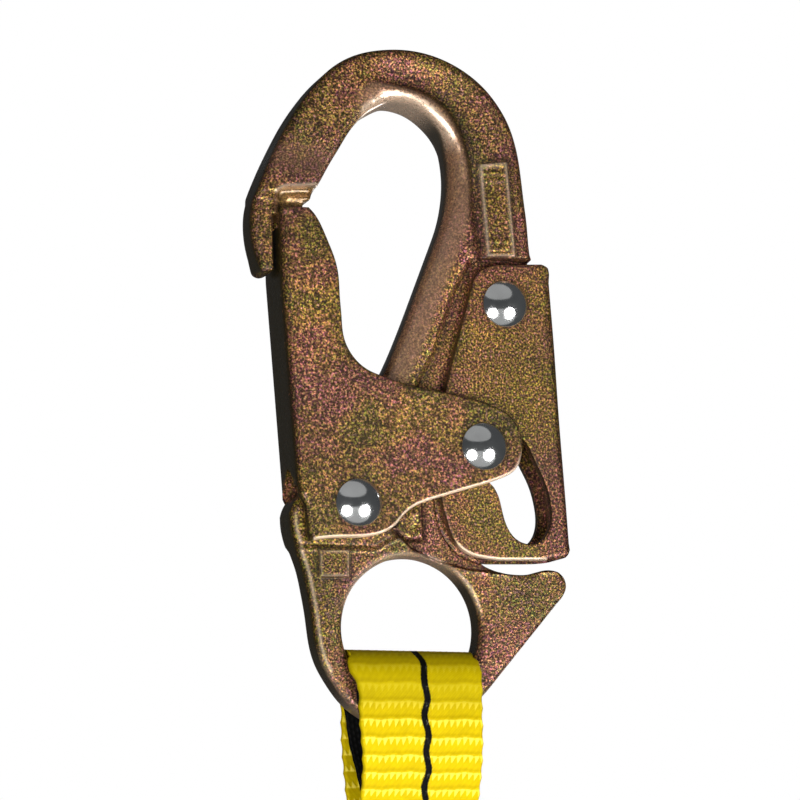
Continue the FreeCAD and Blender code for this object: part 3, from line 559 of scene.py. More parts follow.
M_RIVET = brushed("polished_rivet", (0.86, 0.87, 0.86), 0.12, metal=1.0, spread=0.04, scale=1500.0, amount=0.000003)
M_SPRING = brushed("spring_steel", (0.42, 0.40, 0.37), 0.28)
M_STEEL = brushed("plain_steel", (0.52, 0.52, 0.51), 0.32)
M_STAIN = brushed("stainless_forging", (0.50, 0.50, 0.49), 0.38, spread=0.12, scale=420.0, amount=0.00004)

M_SCREW = brushed("black_oxide_screw", (0.07, 0.07, 0.072), 0.42)


def moulded(name, base, rough=0.5, grain=1700.0, depth=0.00005, alt=None):
    """Moulded plastic or rubber with a fine spark-eroded texture and faint scuffs."""
    m = Mat(name, base, rough, 0.0)
    a = m.noise(grain, 2.0, 0.5)
    b = m.noise(60.0, 3.0, 0.6, offset=(0.2, 0.5, 0.8))
    c = m.noise(900.0, 1.0, 0.4, offset=(0.1, 0.9, 0.2))
    dark = tuple(v * 0.8 for v in base)
    lite = alt or tuple(min(1.0, v * 1.2 + 0.004) for v in base)
    m.color(m.mix(m.remap(b, 0.3, 0.7), dark, lite))
    m.rough(m.remap(c, 0.3, 0.7, rough - 0.08, rough + 0.12))
    m.normal(m.bump(a, depth, 0.6))
    return m.m


M_CASE = moulded("case_plastic", (0.035, 0.036, 0.038), 0.46)
M_CASE_TRIM = moulded("nozzle_plastic", (0.012, 0.012, 0.013), 0.42)
M_RUBBER = moulded("stop_rubber", (0.016, 0.016, 0.016), 0.62, grain=1100.0, depth=0.00008)


def woven(name, base, shade, pale=None, tracer=False, spec=0.06):
    """Polyester webbing: colour follows the weave, part pattern and part painted light (painted highlight on the raised
    teeth, painted shade in the band hollows and over the top of the loop), with tiny filament grooves and slight
    variation.
    """
    m = Mat(name, base, 0.6, 0.0)
    m.b.inputs["Specular IOR Level"].default_value = spec
    uv = m.attr("weave", "Vector")
    u = m.xyz(uv)
    # u[0] across in mm, u[1] along in mm, u[2] tone 0..1: the weave pattern with painted shade where low and painted
    # highlight where high
    # painted shade: darkens the strap over the top of the loop, where it rolls away from the light
    top_shade = m.attr("top_shade")
    warp = m.math("SINE", m.math("MULTIPLY", m.math("ADD", u[0], m.math("MULTIPLY", u[1], 0.45)), 21.0))
    mott = m.noise(0.35, 3.0, 0.6, co=uv)
    fine = m.noise(5.0, 2.0, 0.6, co=uv)
    col = m.mix(m.remap(mott, 0.3, 0.7), tuple(c * 0.88 for c in base), base)
    tone = m.math("ADD", u[2], m.math("MULTIPLY", m.math("SUBTRACT", fine, 0.5), 0.35))
    # painted shade where the tone is low
    col = m.mix(m.remap(tone, 0.45, 0.0, 0.0, 0.9), col, shade)
    # painted highlight where the tone is high, held back under the painted top shade
    lit = m.math("MULTIPLY", m.remap(tone, 0.52, 0.92, 0.0, 1.0), m.math("SUBTRACT", 1.0, m.math("MULTIPLY", top_shade, 0.85)))
    col = m.mix(m.math("MULTIPLY", lit, 0.8), col, pale or tuple(min(1.0, c * 1.1 + 0.01) for c in base))
    # painted shade over the top of the loop
    col = m.mix(m.math("MULTIPLY", top_shade, 0.85), col, m.mix(1.0, col, (0.70, 0.74, 0.6), "MULTIPLY"))
    if tracer:
        wave = m.math("MULTIPLY", m.math("SINE", m.math("MULTIPLY", u[1], 2 * math.pi / 6.6)), 0.30)
        off = m.math("ABSOLUTE", m.math("SUBTRACT", m.math("SUBTRACT", u[0], wave), 0.75))
        rag = m.math("MULTIPLY", m.math("SUBTRACT", fine, 0.5), 0.7)
        mask = m.remap(m.math("ADD", off, rag), 0.74, 0.60)
        glint = m.remap(m.math("MULTIPLY", fine, u[2]), 0.48, 0.60)
        blk = m.mix(glint, (0.002, 0.002, 0.0015), (0.09, 0.085, 0.07))
        col = m.mix(mask, col, blk)
    m.color(col)
    hgt = m.math("ADD", m.math("MULTIPLY", warp, 0.5), fine)
    m.normal(m.bump(hgt, 0.00006, 0.5))
    return m.m


# shade and pale colours carry the weave's painted shade and painted highlight
M_WEB = woven("yellow_webbing", (0.60, 0.435, 0.0), (0.42, 0.292, 0.0), pale=(0.98, 0.79, 0.09), tracer=True)
M_LINER = woven("black_liner", (0.003, 0.003, 0.003), (0.001, 0.001, 0.001), pale=(0.014, 0.014, 0.013), spec=0.05)


def thread(name, base):
    m = Mat(name, base, 0.5, 0.0)
    m.b.inputs["Sheen Weight"].default_value = 0.2
    a = m.noise(2600.0, 2.0, 0.5)
    w = m.n("ShaderNodeTexWave", wave_type="BANDS", bands_direction="DIAGONAL")
    w.inputs["Scale"].default_value = 900.0
    w.inputs["Distortion"].default_value = 1.5
    m.l(m.co, w.inputs["Vector"])
    m.color(m.mix(m.remap(a, 0.3, 0.7), tuple(c * 0.75 for c in base), base))
    m.normal(m.bump(w.outputs["Fac"], 0.00012, 0.7))
    return m.m


M_THREAD = thread("sewing_thread", (0.022, 0.022, 0.024))

# ------------------------------------------------------- outlines (mm, x-z)
SPINE = [(28.74, -29.76), (28.39, -27.43), (27.98, -22.68), (27.39, -17.97), (26.82, -13.24), (26.08, -8.54),
         (24.72, -4.0), (22.5, 0.14), (19.55, 3.8), (15.89, 6.74), (11.67, 8.92), (7.09, 10.25), (2.32, 10.65),
         (-2.39, 10.17), (-6.71, 8.94), (-10.45, 6.95), (-13.88, 3.93), (-16.92, 0.17), (-19.6, -3.9),
         (-21.91, -8.18), (-23.99, -12.58), (-25.83, -17.04), (-27.25, -21.62), (-27.43, -26.3), (-26.6, -30.88),
         (-25.93, -33.0)]
LIP_END = [(-25.93, -33.0), (-25.3, -34.25), (-24.2, -34.7), (-22.95, -34.3)]
NOSE_AND_BOWL = [(-16.0, -20.3), (-15.3, -18.73), (-14.33, -16.99), (-12.41, -13.42), (-10.36, -9.89),
                 (-8.24, -6.35), (-6.82, -4.58), (-4.7, -2.6), (-2.13, -0.95), (0.0, 0.0), (2.42, 0.0), (4.45, -0.5),
                 (7.93, -2.58), (10.38, -5.62), (11.59, -9.38), (12.03, -15.35), (11.63, -19.38), (10.73, -23.36),
                 (9.38, -27.23), (6.53, -34.85), (3.68, -42.43), (0.63, -49.89), (-1.3, -53.9), (-3.9, -58.2),
                 (-7.1, -62.6), (-10.2, -66.8), (-12.7, -70.4), (-14.6, -73.9), (-16.0, -75.8), (-17.7, -77.2),
                 (-19.0, -78.8), (-19.6, -80.6)]
RING = [(-19.6, -80.6), (-19.5, -82.4), (-18.53, -86.29), (-16.93, -90.52), (-15.85, -94.94), (-15.01, -99.41),
        (-14.36, -103.9), (-13.15, -108.25), (-10.91, -112.21), (-8.0, -115.9), (-4.0, -118.8), (0.2, -120.4),
        (4.6, -120.9), (9.0, -120.3), (13.2, -118.6), (16.9, -116.2), (19.75, -113.46)]
HORN_LINE = [(19.75, -113.46), (35.04, -95.13)]
HORN_TOP = [(35.04, -95.13), (35.83, -92.95), (35.05, -90.82), (32.97, -89.8), (28.5, -90.7), (25.4, -90.9),
            (22.4, -90.35), (19.4, -89.2), (17.6, -87.4), (16.8, -84.8), (16.6, -81.0), (16.2, -76.0),
            (14.9, -71.2), (13.4, -67.3), (13.2, -63.9), (15.0, -60.5), (18.2, -56.5), (21.5, -52.2),
            (25.0, -47.7), (28.0, -43.2), (29.3, -38.2), (29.2, -33.6), (28.74, -29.76)]
GATE_TOP = [(-22.6, -22.45), (-16.95, -22.3)]
GATE_RIGHT = [(-16.95, -22.3), (-16.13, -23.08), (-15.0, -24.6), (-13.33, -28.05), (-11.85, -31.56),
              (-10.95, -35.28), (-10.69, -39.14), (-10.34, -42.96), (-9.92, -46.78), (-8.33, -50.2),
              (-5.5, -52.8), (-2.7, -53.95), (1.06, -55.02), (5.24, -55.99), (10.24, -56.7), (13.04, -57.25),
              (17.07, -57.97), (19.69, -58.83), (22.52, -60.06), (24.53, -62.11), (25.73, -65.35), (25.4, -69.04),
              (24.4, -71.0), (22.45, -72.4), (19.62, -73.55), (14.39, -75.22), (8.99, -76.94), (5.9, -78.0),
              (3.83, -79.02), (1.85, -80.7), (0.07, -82.75), (-1.9, -83.95), (-4.84, -84.79), (-9.15, -85.12),
              (-13.43, -85.43), (-16.4, -86.0)]
LEVER_LEFT = [(22.2, -30.78), (21.18, -30.95), (19.33, -31.54), (17.49, -32.82), (16.26, -35.64), (15.58, -38.22),
              (14.13, -43.58), (12.78, -48.72), (10.94, -55.99), (10.0, -63.0), (9.8, -70.0), (10.15, -77.41),
              (10.63, -79.51), (11.29, -81.59), (12.48, -84.61), (14.68, -86.84), (18.69, -88.07), (21.91, -88.36)]
GATE_ZONE = [(-22.9, -45.0), (-22.9, -19.3), (-21.6, -18.4), (-14.0, -17.6), (11.0, -17.6), (15.5, -19.0),
             (17.5, -22.0), (18.9, -29.9), (45.0, -29.9), (45.0, -130.0), (-30.0, -130.0), (-30.0, -45.0)]
LEVER_ZONE = [(18.0, -29.8), (45.0, -29.8), (45.0, -89.6), (33.0, -89.6), (24.0, -90.6), (16.0, -89.9),
              (10.0, -88.6), (4.6, -86.2), (2.2, -83.9), (0.9, -80.5), (0.7, -77.0), (1.3, -72.5), (2.6, -66.5),
              (4.6, -60.0), (6.8, -54.5), (9.6, -49.3), (12.0, -42.3), (14.4, -35.5), (16.6, -31.4)]
EYE_ZONE = [(-30.0, -86.6), (-3.0, -86.6), (0.3, -84.6), (2.2, -83.9), (4.6, -86.2), (10.0, -88.6), (16.0, -89.9),
            (24.0, -90.6), (33.0, -89.6), (45.0, -89.6), (45.0, -130.0), (-30.0, -130.0)]
VALLEY = [(-9.0, 4.4), (-3.0, 4.3), (3.05, 3.65), (8.13, 2.03), (12.21, -1.06), (14.65, -5.48), (16.28, -10.34),
          (17.27, -18.22), (18.26, -26.08), (19.07, -29.59)]
LEVER_LINE = [(8.5, -70.0), (9.33, -77.03), (9.73, -79.9), (10.52, -82.75), (11.72, -84.82), (13.72, -87.06),
              (16.33, -88.33), (19.35, -89.2), (22.38, -90.27)]
PAD_A = [(-13.9, -87.3), (-7.9, -87.2), (-7.9, -92.3), (-13.7, -92.5)]
PAD_B = [(1.3, -78.0), (6.6, -77.6), (6.8, -84.3), (3.4, -84.4), (1.4, -82.6)]
PAD_C = [(17.9, -11.2), (23.3, -10.6), (25.0, -29.3), (19.6, -29.3)]
EYE_C, EYE_R = (4.6, -101.7), 13.63
PIV_G, PIV_M, PIV_L = (-7.0, -78.5), (17.9, -66.9), (23.0, -38.6)


# ------------------------------------------------------------ hook forging
def densify(pts, step=0.3):
    return np.concatenate([spline([pts[i], pts[i + 1]], step) for i in range(len(pts) - 1)])


def along(pts, offs, step=0.28):
    """Copies of a feature line shifted to either side, to carry its crease in the skin."""
    q = densify(pts, step)
    t = np.gradient(q, axis=0)
    t /= np.linalg.norm(t, axis=1)[:, None] + 1e-12
    nrm = np.stack([-t[:, 1], t[:, 0]], 1)
    return [q + nrm * o for o in offs]


VAL = np.array(densify([tuple(p) for p in spline(VALLEY, 1.0)], 0.6))
INNER = np.concatenate([VAL, [(19.3, -29.9), (19.3, -60.0), (-60.0, -60.0), (-60.0, 4.4)]])


BOWL_LINE = np.array(spline(NOSE_AND_BOWL[7:30], 0.6))


def hook_height(P):
    X, Z = P[:, 0], P[:, 1]
    s = line_d(VAL, P)
    s = np.where(inside(INNER, P), s, -s)
    crest = 4.82 + 0.75 * ss((Z + 17.5) / 10.0)
    floor_ = crest - 0.95
    outer = 5.62 - 0.25 * ss((X - 8.0) / 8.0) * ss((-Z - 1.0) / 6.0)
    # from the valley a short rise to the rib, then an even fall towards the edge of the bowl
    wid = line_d(BOWL_LINE, P) + np.maximum(s, 0)
    s_c = np.minimum(2.1, 0.36 * wid)
    past = np.maximum(s - s_c, 0)
    slope = np.minimum(0.32, (1.35 - 0.5 * ss((-2.0 - Z) / 8.0)) / np.maximum(wid - s_c, 1.0))
    rib = floor_ + (crest - floor_) * ss(s / s_c) - slope * (past - 0.45 * (1 - np.exp(-past / 0.45)))
    prof = np.where(s < 0, outer + (floor_ - outer) * ss((s + 7.5) / 7.5), np.where(Z > -60.0, rib, crest))
    fade = ss((X + 7.5) / 8.0)
    fade = np.maximum(fade, ss((-19.0 - Z) / 2.0))
    H = 6.0 + (prof - 6.0) * fade
    H = np.where((Z < -29.8) & (s < 0), 4.8, H)
    # crown of the nose: hollow face between the shoulder and the shelf, rolled inner margin
    nose = np.exp(-((Z + 11.5 + 0.22 * (X + 18.0)) / 4.6) ** 2) * ss((-6.0 - X) / 8.0)
    H = H - 0.28 * nose
    g = poly_sd(GATE_ZONE, P)
    tongue = 4.8 - 0.55 * np.exp(-((g - 1.1) / 0.75) ** 2) * ss((-12.0 - X) / 2.0) * ss((Z + 30.0) / 6.0)
    H = np.where(g > 0, np.minimum(H, tongue), H)
    lip = (X < -12.0) & (g > 0) & (g < 0.5)
    H = np.where(lip, 6.0 + (H - 6.0) * ss(g / 0.35), H)
    # eye and horn
    e = poly_sd(EYE_ZONE, P)
    H = H + (3.5 - H) * ss((e + 0.5) / 1.5)
    # thin web under the lever
    lz = poly_sd(LEVER_ZONE, P)
    wide = np.where((Z > -31.2) & (X > 16.0), 0.30, np.where(Z < -84.5, 0.7, 1.9))
    H = np.where(lz > 0, 2.72, 2.72 + (H - 2.72) * ss(-lz / wide))
    H = H - 0.30 * np.exp(-(line_d(LEVER_LINE, P) / 0.22) ** 2)
    # raised blank pads
    q = poly_sd(PAD_A, P)
    H = H + 0.75 * ss((q + 0.25) / 0.5)
    q = poly_sd(PAD_B, P)
    H = H + 0.10 * ss((q + 0.1) / 0.3) - 0.5 * np.exp(-((q + 0.45) / 0.28) ** 2) + wob(P, 0.62, 0.34, 4.4) * ss(q / 0.6)
    q = poly_sd(PAD_C, P)
    H = H + 0.50 * ss((q + 0.25) / 0.4) - 0.34 * ss((q - 0.7) / 0.3)
    for zc in (-12.9, -14.3, -26.4, -27.6):
        H = H + 0.26 * np.exp(-((Z - zc) / 0.34) ** 2) * ss((q - 0.75) / 0.4)
    return H


def hook_wear(P, d, r):
    X, Z = P[:, 0], P[:, 1]
    k = line_d(BOWL_LINE, P)
    s = line_d(VAL, P)
    w = ss((5.4 - k) / 1.8) * ss((X + 9.0) / 5.0) * np.where(inside(INNER, P), ss((s - 0.2) / 1.2), 0.0)
    nose = 0.45 * np.exp(-((Z + 13.0 + 0.22 * (X + 18.0)) / 3.2) ** 2) * ss((-8.0 - X) / 5.0)
    g = poly_sd(GATE_ZONE, P)
    nose = np.maximum(nose, 0.95 * (g > -0.15) * (X < -12.0) * (Z > -26.0))
    ring = ss((-113.5 - Z) / 4.0) * 0.5
    return np.clip(np.maximum(np.maximum(w, ring), nose), 0, 1)


# Painted highlight for the hook: pale lines on the pad rims, the shelf, the lower and left outer rims, the eye's upper
# rim and the bowl fillet, as if lit from below.
def painted_edge_highlight(P, d, r):
    q = poly_sd(PAD_C, P)
    rim = np.exp(-((q - 0.3) / 0.3) ** 2) * 0.30
    q = poly_sd(PAD_A, P)
    rim = np.maximum(rim, np.exp(-((q - 0.2) / 0.3) ** 2) * 0.18)
    g = poly_sd(GATE_ZONE, P)
    shelf = np.exp(-((g + 0.1) / 0.3) ** 2) * (P[:, 0] < -12.0) * (P[:, 1] > -19.6) * 0.5
    low = np.clip(1 - d / 0.5, 0, 1) * 0.35 * ss((-104.0 - P[:, 1]) / 6.0)
    low = np.maximum(low, 0.26 * np.exp(-((d - 0.95) / 0.26) ** 2) * (P[:, 0] < -11.0) * ss((-79.0 - P[:, 1]) / 3.0))
    eye = np.hypot(P[:, 0] - EYE_C[0], P[:, 1] - EYE_C[1]) - EYE_R
    low = np.maximum(low, 0.30 * np.clip((1.0 - eye) / 0.45, 0, 1) * ss((P[:, 1] + 100.0) / 4.0))
    k = line_d(BOWL_LINE, P)
    low = np.maximum(low, 0.62 * ss((2.3 - k) / 1.0) * ss((P[:, 0] + 8.0) / 3.0) * ss((P[:, 1] + 10.0) / 5.0))
    return np.clip(np.maximum(np.maximum(low, rim), shelf), 0, 1)


def hook_gold(P, d, r):
    w = 1.0 * (poly_sd(GATE_ZONE, P) > 0.1) * (P[:, 0] < -12.0)
    for pad, amt in ((PAD_A, 0.6), (PAD_B, 0.9), (PAD_C, 0.75)):
        w = np.maximum(w, amt * ss((poly_sd(pad, P) - 0.1) / 0.3))
    return w


# Painted shade for the hook: darkening in the valley, round the pads, along the gate, lever and eye borders, near the
# outline and over the lower eye region.
def hook_painted_shade(P, d, r):
    X, Z = P[:, 0], P[:, 1]
    w = 0.28 * ss((-84.0 - Z) / 4.0)
    w = np.maximum(w, 0.4 * np.exp(-((Z + 14.0 + 0.22 * (X + 18.0)) / 2.4) ** 2) * ss((-8.0 - X) / 5.0))
    for pad, amt in ((PAD_A, 1.0), (PAD_B, 0.9), (PAD_C, 0.9)):
        q = poly_sd(pad, P)
        w = np.maximum(w, amt * np.exp(-((q + 0.4) / np.where(q < -0.4, 0.75, 0.42)) ** 2))
    s = line_d(VAL, P)
    s = np.where(inside(INNER, P), s, -s)
    v = np.where(s > 0, np.exp(-((s - 0.5) / 1.3) ** 2), np.exp(-((s - 0.5) / 2.6) ** 2))
    w = np.maximum(w, 0.95 * v * ss((X + 5.0) / 8.0) * (Z > -62.0))
    g = poly_sd(GATE_ZONE, P)
    w = np.maximum(w, 0.75 * np.exp(-((g - 0.75) / 0.5) ** 2) * (X < -12.0))
    lz = poly_sd(LEVER_ZONE, P)
    w = np.maximum(w, 0.8 * np.exp(-((lz - 0.1) / 0.9) ** 2) * (Z < -29.0))
    w = np.maximum(w, 0.75 * np.exp(-(line_d(LEVER_LINE, P) / 0.35) ** 2))
    e = poly_sd(EYE_ZONE, P)
    w = np.maximum(w, 0.45 * np.exp(-((e - 0.9) / 0.5) ** 2))
    k = line_d(BOWL_LINE, P)
    eye = np.hypot(X - EYE_C[0], Z - EYE_C[1]) - EYE_R
    w = np.maximum(w, 0.46 * np.exp(-(d / 1.7) ** 2) * ss((k - 4.5) / 2.0) * ss((eye - 2.0) / 1.5))
    return np.clip(w, 0, 1)


STEP = 0.32
hook_runs = [(SPINE, "spine"), (LIP_END, "lip"), ([(-22.95, -34.3), (-23.35, -23.5)], "lipin"),
             ([(-23.35, -23.5), (-17.8, -23.5)], "tip"), ([(-17.8, -23.5), (-17.3, -21.0)], "tip"),
             ([(-17.3, -21.0), (-16.0, -20.3)], "tip"), (NOSE_AND_BOWL, "bowl"), (RING, "ring"),
             (HORN_LINE, "horn"), (HORN_TOP, "web")]
hook_loop, hook_tags = runs_to_loop(hook_runs, STEP)
RADII = {"spine": 2.0, "lip": 1.0, "lipin": 0.6, "tip": 0.4, "bowl": 3.0, "ring": 1.5, "horn": 1.2, "web": 0.7}
hr = np.array([RADII[t] for t in hook_tags])
for i, (t, p) in enumerate(zip(hook_tags, hook_loop)):
    if t == "bowl":
        hr[i] = 1.2 + 0.4 * float(ss(np.array((p[0] + 13.0) / 12.0))) if p[1] > -20.5 and p[0] < 2 else 1.6 + 2.6 * float(ss(np.array((-p[1] - 2.0) / 8.0)))
        if p[1] < -70:
            hr[i] = 1.4
kern = np.ones(9) / 9
hr = np.convolve(np.concatenate([hr[-4:], hr, hr[:4]]), kern, mode="valid")
eye_loop = circle_loop(*EYE_C, EYE_R, STEP)
extra = []
extra += along([(-22.9, -34.0), (-22.9, -19.3), (-21.6, -18.4), (-14.0, -17.6)], (-0.32, -0.1, 0.0, 0.12, 0.35, 0.7))
extra += along(LEVER_ZONE[12:] + [LEVER_ZONE[0], (30.0, -29.8)], (-0.2, 0.0, 0.25, 0.6, 1.0, 1.5))
extra += along(LEVER_LINE, (-0.4, -0.2, 0.0, 0.2, 0.4))
extra += along(EYE_ZONE[:11], (-0.6, -0.3, 0.0, 0.35, 0.6))
for padpts in (PAD_A, PAD_B, PAD_C):
    extra += along(padpts + [padpts[0]], (-0.3, -0.05, 0.2, 0.5, 0.8) if padpts is PAD_C else (-0.2, 0.0, 0.2, 0.4))
hook_me = pillow("hook_forging", [hook_loop, eye_loop], [hr, np.full(len(eye_loop), 1.5)], hook_height, grid=0.46,
                 extra=extra, attrs={"wear": hook_wear, "edge": painted_edge_highlight, "painted_shade": hook_painted_shade, "gold": hook_gold},
                 bumps=lambda P, d: (wob(P, 0.45, 0.06, 3.1) + wob(P, 1.5, 0.03, 7.7)) * ss(d / 2.0))
crisp(hook_me, 50)
wall_attr(hook_me, onset=0.47)
hook = link("hook_forging", hook_me)
hook_me.materials.append(M_FORGE)
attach(hook, "hook")
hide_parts("hook_body")

# ------------------------------------------------------------------- gate
gate_runs = [(GATE_TOP, "top"), (GATE_RIGHT, "cut"), ([(-16.4, -86.0), (-17.4, -79.0)], "heel"),
             ([(-17.4, -79.0), (-18.55, -77.0)], "heel"), ([(-18.55, -77.0), (-22.2, -35.3)], "web"),
             ([(-22.2, -35.3), (-22.6, -22.45)], "web")]
gate_loop, gate_tags = runs_to_loop(gate_runs, 0.3)
gr = np.array([{"web": 2.2, "heel": 1.5}.get(t, 0.62) for t in gate_tags])
gr = np.convolve(np.concatenate([gr[-4:], gr, gr[:4]]), kern, mode="valid")


# Painted highlight on the plates' cut edges, strongest where they face downward.
def cut_edge_highlight(loop):
    def fn(P, d, r):
        down = (poly_sd(loop, P) - poly_sd(loop, P - np.array((-0.04, 0.16)))) / 0.165
        near = (r < 0.9) & (poly_sd(loop, P) < 0.9)
        return np.where(near, np.clip((0.52 - d) / 0.26, 0, 1), 0.0) * (0.03 + 0.97 * ss((down - 0.3) / 0.4))
    return fn


# Painted shade for the plates: darker along edges that do not face down, towards the bottom, at the right rim and in
# rings round the rivets.
def plate_painted_shade(loop, pivots):
    def fn(P, d, r):
        down = (poly_sd(loop, P) - poly_sd(loop, P - np.array((-0.04, 0.16)))) / 0.165
        w = 0.55 * np.clip((0.55 - d) / 0.3, 0, 1) * (1 - ss((down - 0.05) / 0.3))
        w = np.maximum(w, 0.26 * ss((-58.0 - P[:, 1]) / 14.0))
        sd = poly_sd(loop, P)
        w = np.maximum(w, (0.50 - 0.25 * ss((down - 0.05) / 0.3)) * np.exp(-(sd / 1.9) ** 2))
        rim = ss((P[:, 0] - 29.5 + 0.02 * (P[:, 1] + 40.0)) / 1.5)
        w = np.maximum(w, 0.6 * rim * np.clip((2.4 - d) / 1.2, 0, 1))
        for c in pivots:
            w = np.maximum(w, 0.6 * np.exp(-((np.hypot(P[:, 0] - c[0], P[:, 1] - c[1]) - 4.4) / 1.5) ** 2))
        return np.clip(w, 0, 1)
    return fn


def lever_gold(P, d, r):
    return np.exp(-((P[:, 0] - 25.0) / 10.0) ** 2 - ((P[:, 1] + 54.0) / 16.0) ** 2)


def no_wear(P, d, r):
    return np.zeros(len(P))


def plate_bumps(seed, amp=0.05):
    return lambda P, d: (wob(P, 0.12, amp, seed) + wob(P, 0.5, amp * 0.35, seed + 2)) * ss(d / 2.5) - 0.0


gate_me = pillow("gate_plate", [gate_loop], [gr], lambda P: np.full(len(P), 7.14), grid=0.7,
                 rings=(0.08, 0.18, 0.32, 0.48, 0.66, 0.95, 1.35, 1.8, 2.3), gap=0.06,
                 attrs={"wear": no_wear, "edge": cut_edge_highlight(gate_loop), "painted_shade": plate_painted_shade(gate_loop, (PIV_G, PIV_M))},
                 bumps=plate_bumps(1.3))
gate = link("gate_plate", gate_me)
void = prism("void_g", [(-25.0, -18.0), (-25.0, -26.2), (-20.4, -26.2), (-20.2, -35.3), (-16.75, -75.2),
                        (-25.0, -76.2), (-25.0, -95.0), (40.0, -95.0), (40.0, -18.0)], -5.2, 5.2)
# small pointed arch where the folded web ends above the pivot
ARCH = [(-3.7, -78.0), (-3.7, -76.6), (-3.3, -75.2), (-2.5, -73.7), (-1.3, -72.4), (0.0, -71.7), (1.3, -72.4),
        (2.5, -73.7), (3.3, -75.2), (3.7, -76.6), (3.7, -78.0)]
nA = len(ARCH)
VA = [(-30.0, y, z) for y, z in ARCH] + [(-10.0, y, z) for y, z in ARCH]
arch = link("arch", make_mesh("arch", VA, [tuple(range(nA)), tuple(range(2 * nA - 1, nA - 1, -1))] +
                              [(i, nA + i, nA + (i + 1) % nA, (i + 1) % nA) for i in range(nA)], smooth=False))
fix_normals(arch.data)
carve(gate, [void, arch])
crisp(gate.data, 40)
wall_attr(gate.data)
gate.data.materials.clear()
gate.data.materials.append(M_PLATE)
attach(gate, "gate")
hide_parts("gate_channel")

# ------------------------------------------------------------------ lever
lever_runs = [(LEVER_LEFT, "cut"), ([(21.91, -88.36), (31.23, -88.09)], "cut"),
              ([(31.23, -88.09), (34.3, -87.75), (35.7, -87.2), (36.41, -85.92)], "foot"),
              ([(36.41, -85.92), (35.51, -73.7), (34.43, -59.7), (33.51, -45.59), (32.95, -38.51), (32.45, -32.2)],
               "web"), ([(32.45, -32.2), (31.9, -30.9), (30.7, -30.3)], "cut"), ([(30.7, -30.3), (22.2, -30.78)], "cut")]
lever_loop, lever_tags = runs_to_loop(lever_runs, 0.3)
slot_runs = [([(17.9, -64.1), (24.6, -64.1)], "s"),
             ([(24.6, -64.1), (26.6, -65.0), (28.52, -68.07), (30.74, -72.45), (32.0, -76.67), (32.1, -81.31),
               (30.45, -84.2), (28.0, -85.1), (25.17, -84.23), (23.36, -81.97), (22.16, -78.16), (21.37, -75.6),
               (20.6, -74.3)], "s"),
             ([(20.6, -74.3), (18.0, -71.6), (16.3, -69.25)], "s"),
             ([(16.3, -69.25), (15.15, -67.5), (15.75, -65.1), (17.9, -64.1)], "s")]
slot_loop, _ = runs_to_loop(slot_runs, 0.3)
lr = np.array([{"web": 1.9, "foot": 1.1}.get(t, 0.55) for t in lever_tags])
lr = np.convolve(np.concatenate([lr[-4:], lr, lr[:4]]), kern, mode="valid")
lever_me = pillow("lock_lever_plate", [lever_loop, slot_loop], [lr, np.full(len(slot_loop), 0.3)],
                  lambda P: np.full(len(P), 4.95), grid=0.7, rings=(0.08, 0.18, 0.32, 0.48, 0.66, 0.95, 1.35, 1.8, 2.3),
                  gap=0.06, attrs={"wear": no_wear, "edge": cut_edge_highlight(lever_loop), "gold": lever_gold,
                                "painted_shade": plate_painted_shade(lever_loop, (PIV_L,))}, bumps=plate_bumps(5.9, 0.04))
lever = link("lock_lever_plate", lever_me)
voidl = prism("void_l", [(5.0, -26.0), (30.35, -26.0), (30.85, -38.5), (32.4, -59.7), (34.2, -84.0), (34.45, -92.0),
                         (5.0, -92.0)], -3.0, 3.0)
carve(lever, [voidl])
crisp(lever.data, 40)
wall_attr(lever.data, 0.85)
lever.data.materials.clear()
lever.data.materials.append(M_PLATE)
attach(lever, "lever")
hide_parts("lock_lever")


# ----------------------------------------------------------------- rivets
def lathe(name, profile, n=72):
    """Closed turned body about Y from (radius, y) points that start and end on the axis."""
    V, F, rows = [], [], []
    for rad, y in profile:
        if rad < 1e-6:
            rows.append([len(V)])
            V.append((0, y, 0))
        else:
            rows.append(list(range(len(V), len(V) + n)))
            V += [(rad * math.cos(2 * math.pi * k / n), y, rad * math.sin(2 * math.pi * k / n)) for k in range(n)]
    for a, b in zip(rows[:-1], rows[1:]):
        for k in range(n):
            k2 = (k + 1) % n
            if len(a) == 1:
                F.append((a[0], b[k], b[k2]))
            elif len(b) == 1:
                F.append((a[k], b[0], a[k2]))
            else:
                F.append((a[k], b[k], b[k2], a[k2]))
    me = make_mesh(name, V, F)
    fix_normals(me)
    return me


def rivet(name, half, at, body):
    h, R, hr_, hh = half + 0.05, 6.35, 4.5, 2.0
    cy = h + hh - R
    dome = []
    for k in range(13):
        a = math.radians(44.0 * k / 12)
        dome.append((R * math.sin(a), cy + R * math.cos(a)))
    rim_y = dome[-1][1]
    prof = dome + [(4.52, rim_y - 0.10), (4.56, rim_y - 0.22), (4.5, h + 0.03), (4.3, h), (2.4, h)]
    full = [(r_, -y) for r_, y in prof] + [(r_, y) for r_, y in prof[::-1]]
    me = lathe(name, full)
    crisp(me, 40)
    me.transform(Matrix.Translation((at[0] * MM, 0, at[1] * MM)))
    o = link(name, me)
    me.materials.append(M_RIVET)
    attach(o, body)
    return o


for nm, node, half, at, body in (("rivet_gate_pivot", "gate_pivot_rivet", 7.2, PIV_G, "hook"),
                                 ("rivet_link", "link_rivet", 7.2, PIV_M, "gate"),
                                 ("rivet_lever_pivot", "lever_pivot_rivet", 5.0, PIV_L, "hook")):
    o = rivet(nm, half, at, body)
    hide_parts(node)

# ---------------------------------------------------------------- webbing
XC, WID, THK = 5.5, 24.5, 1.8
LOOP_Z, R_MID = -112.7, 6.1
BOT_CASE = -324.0


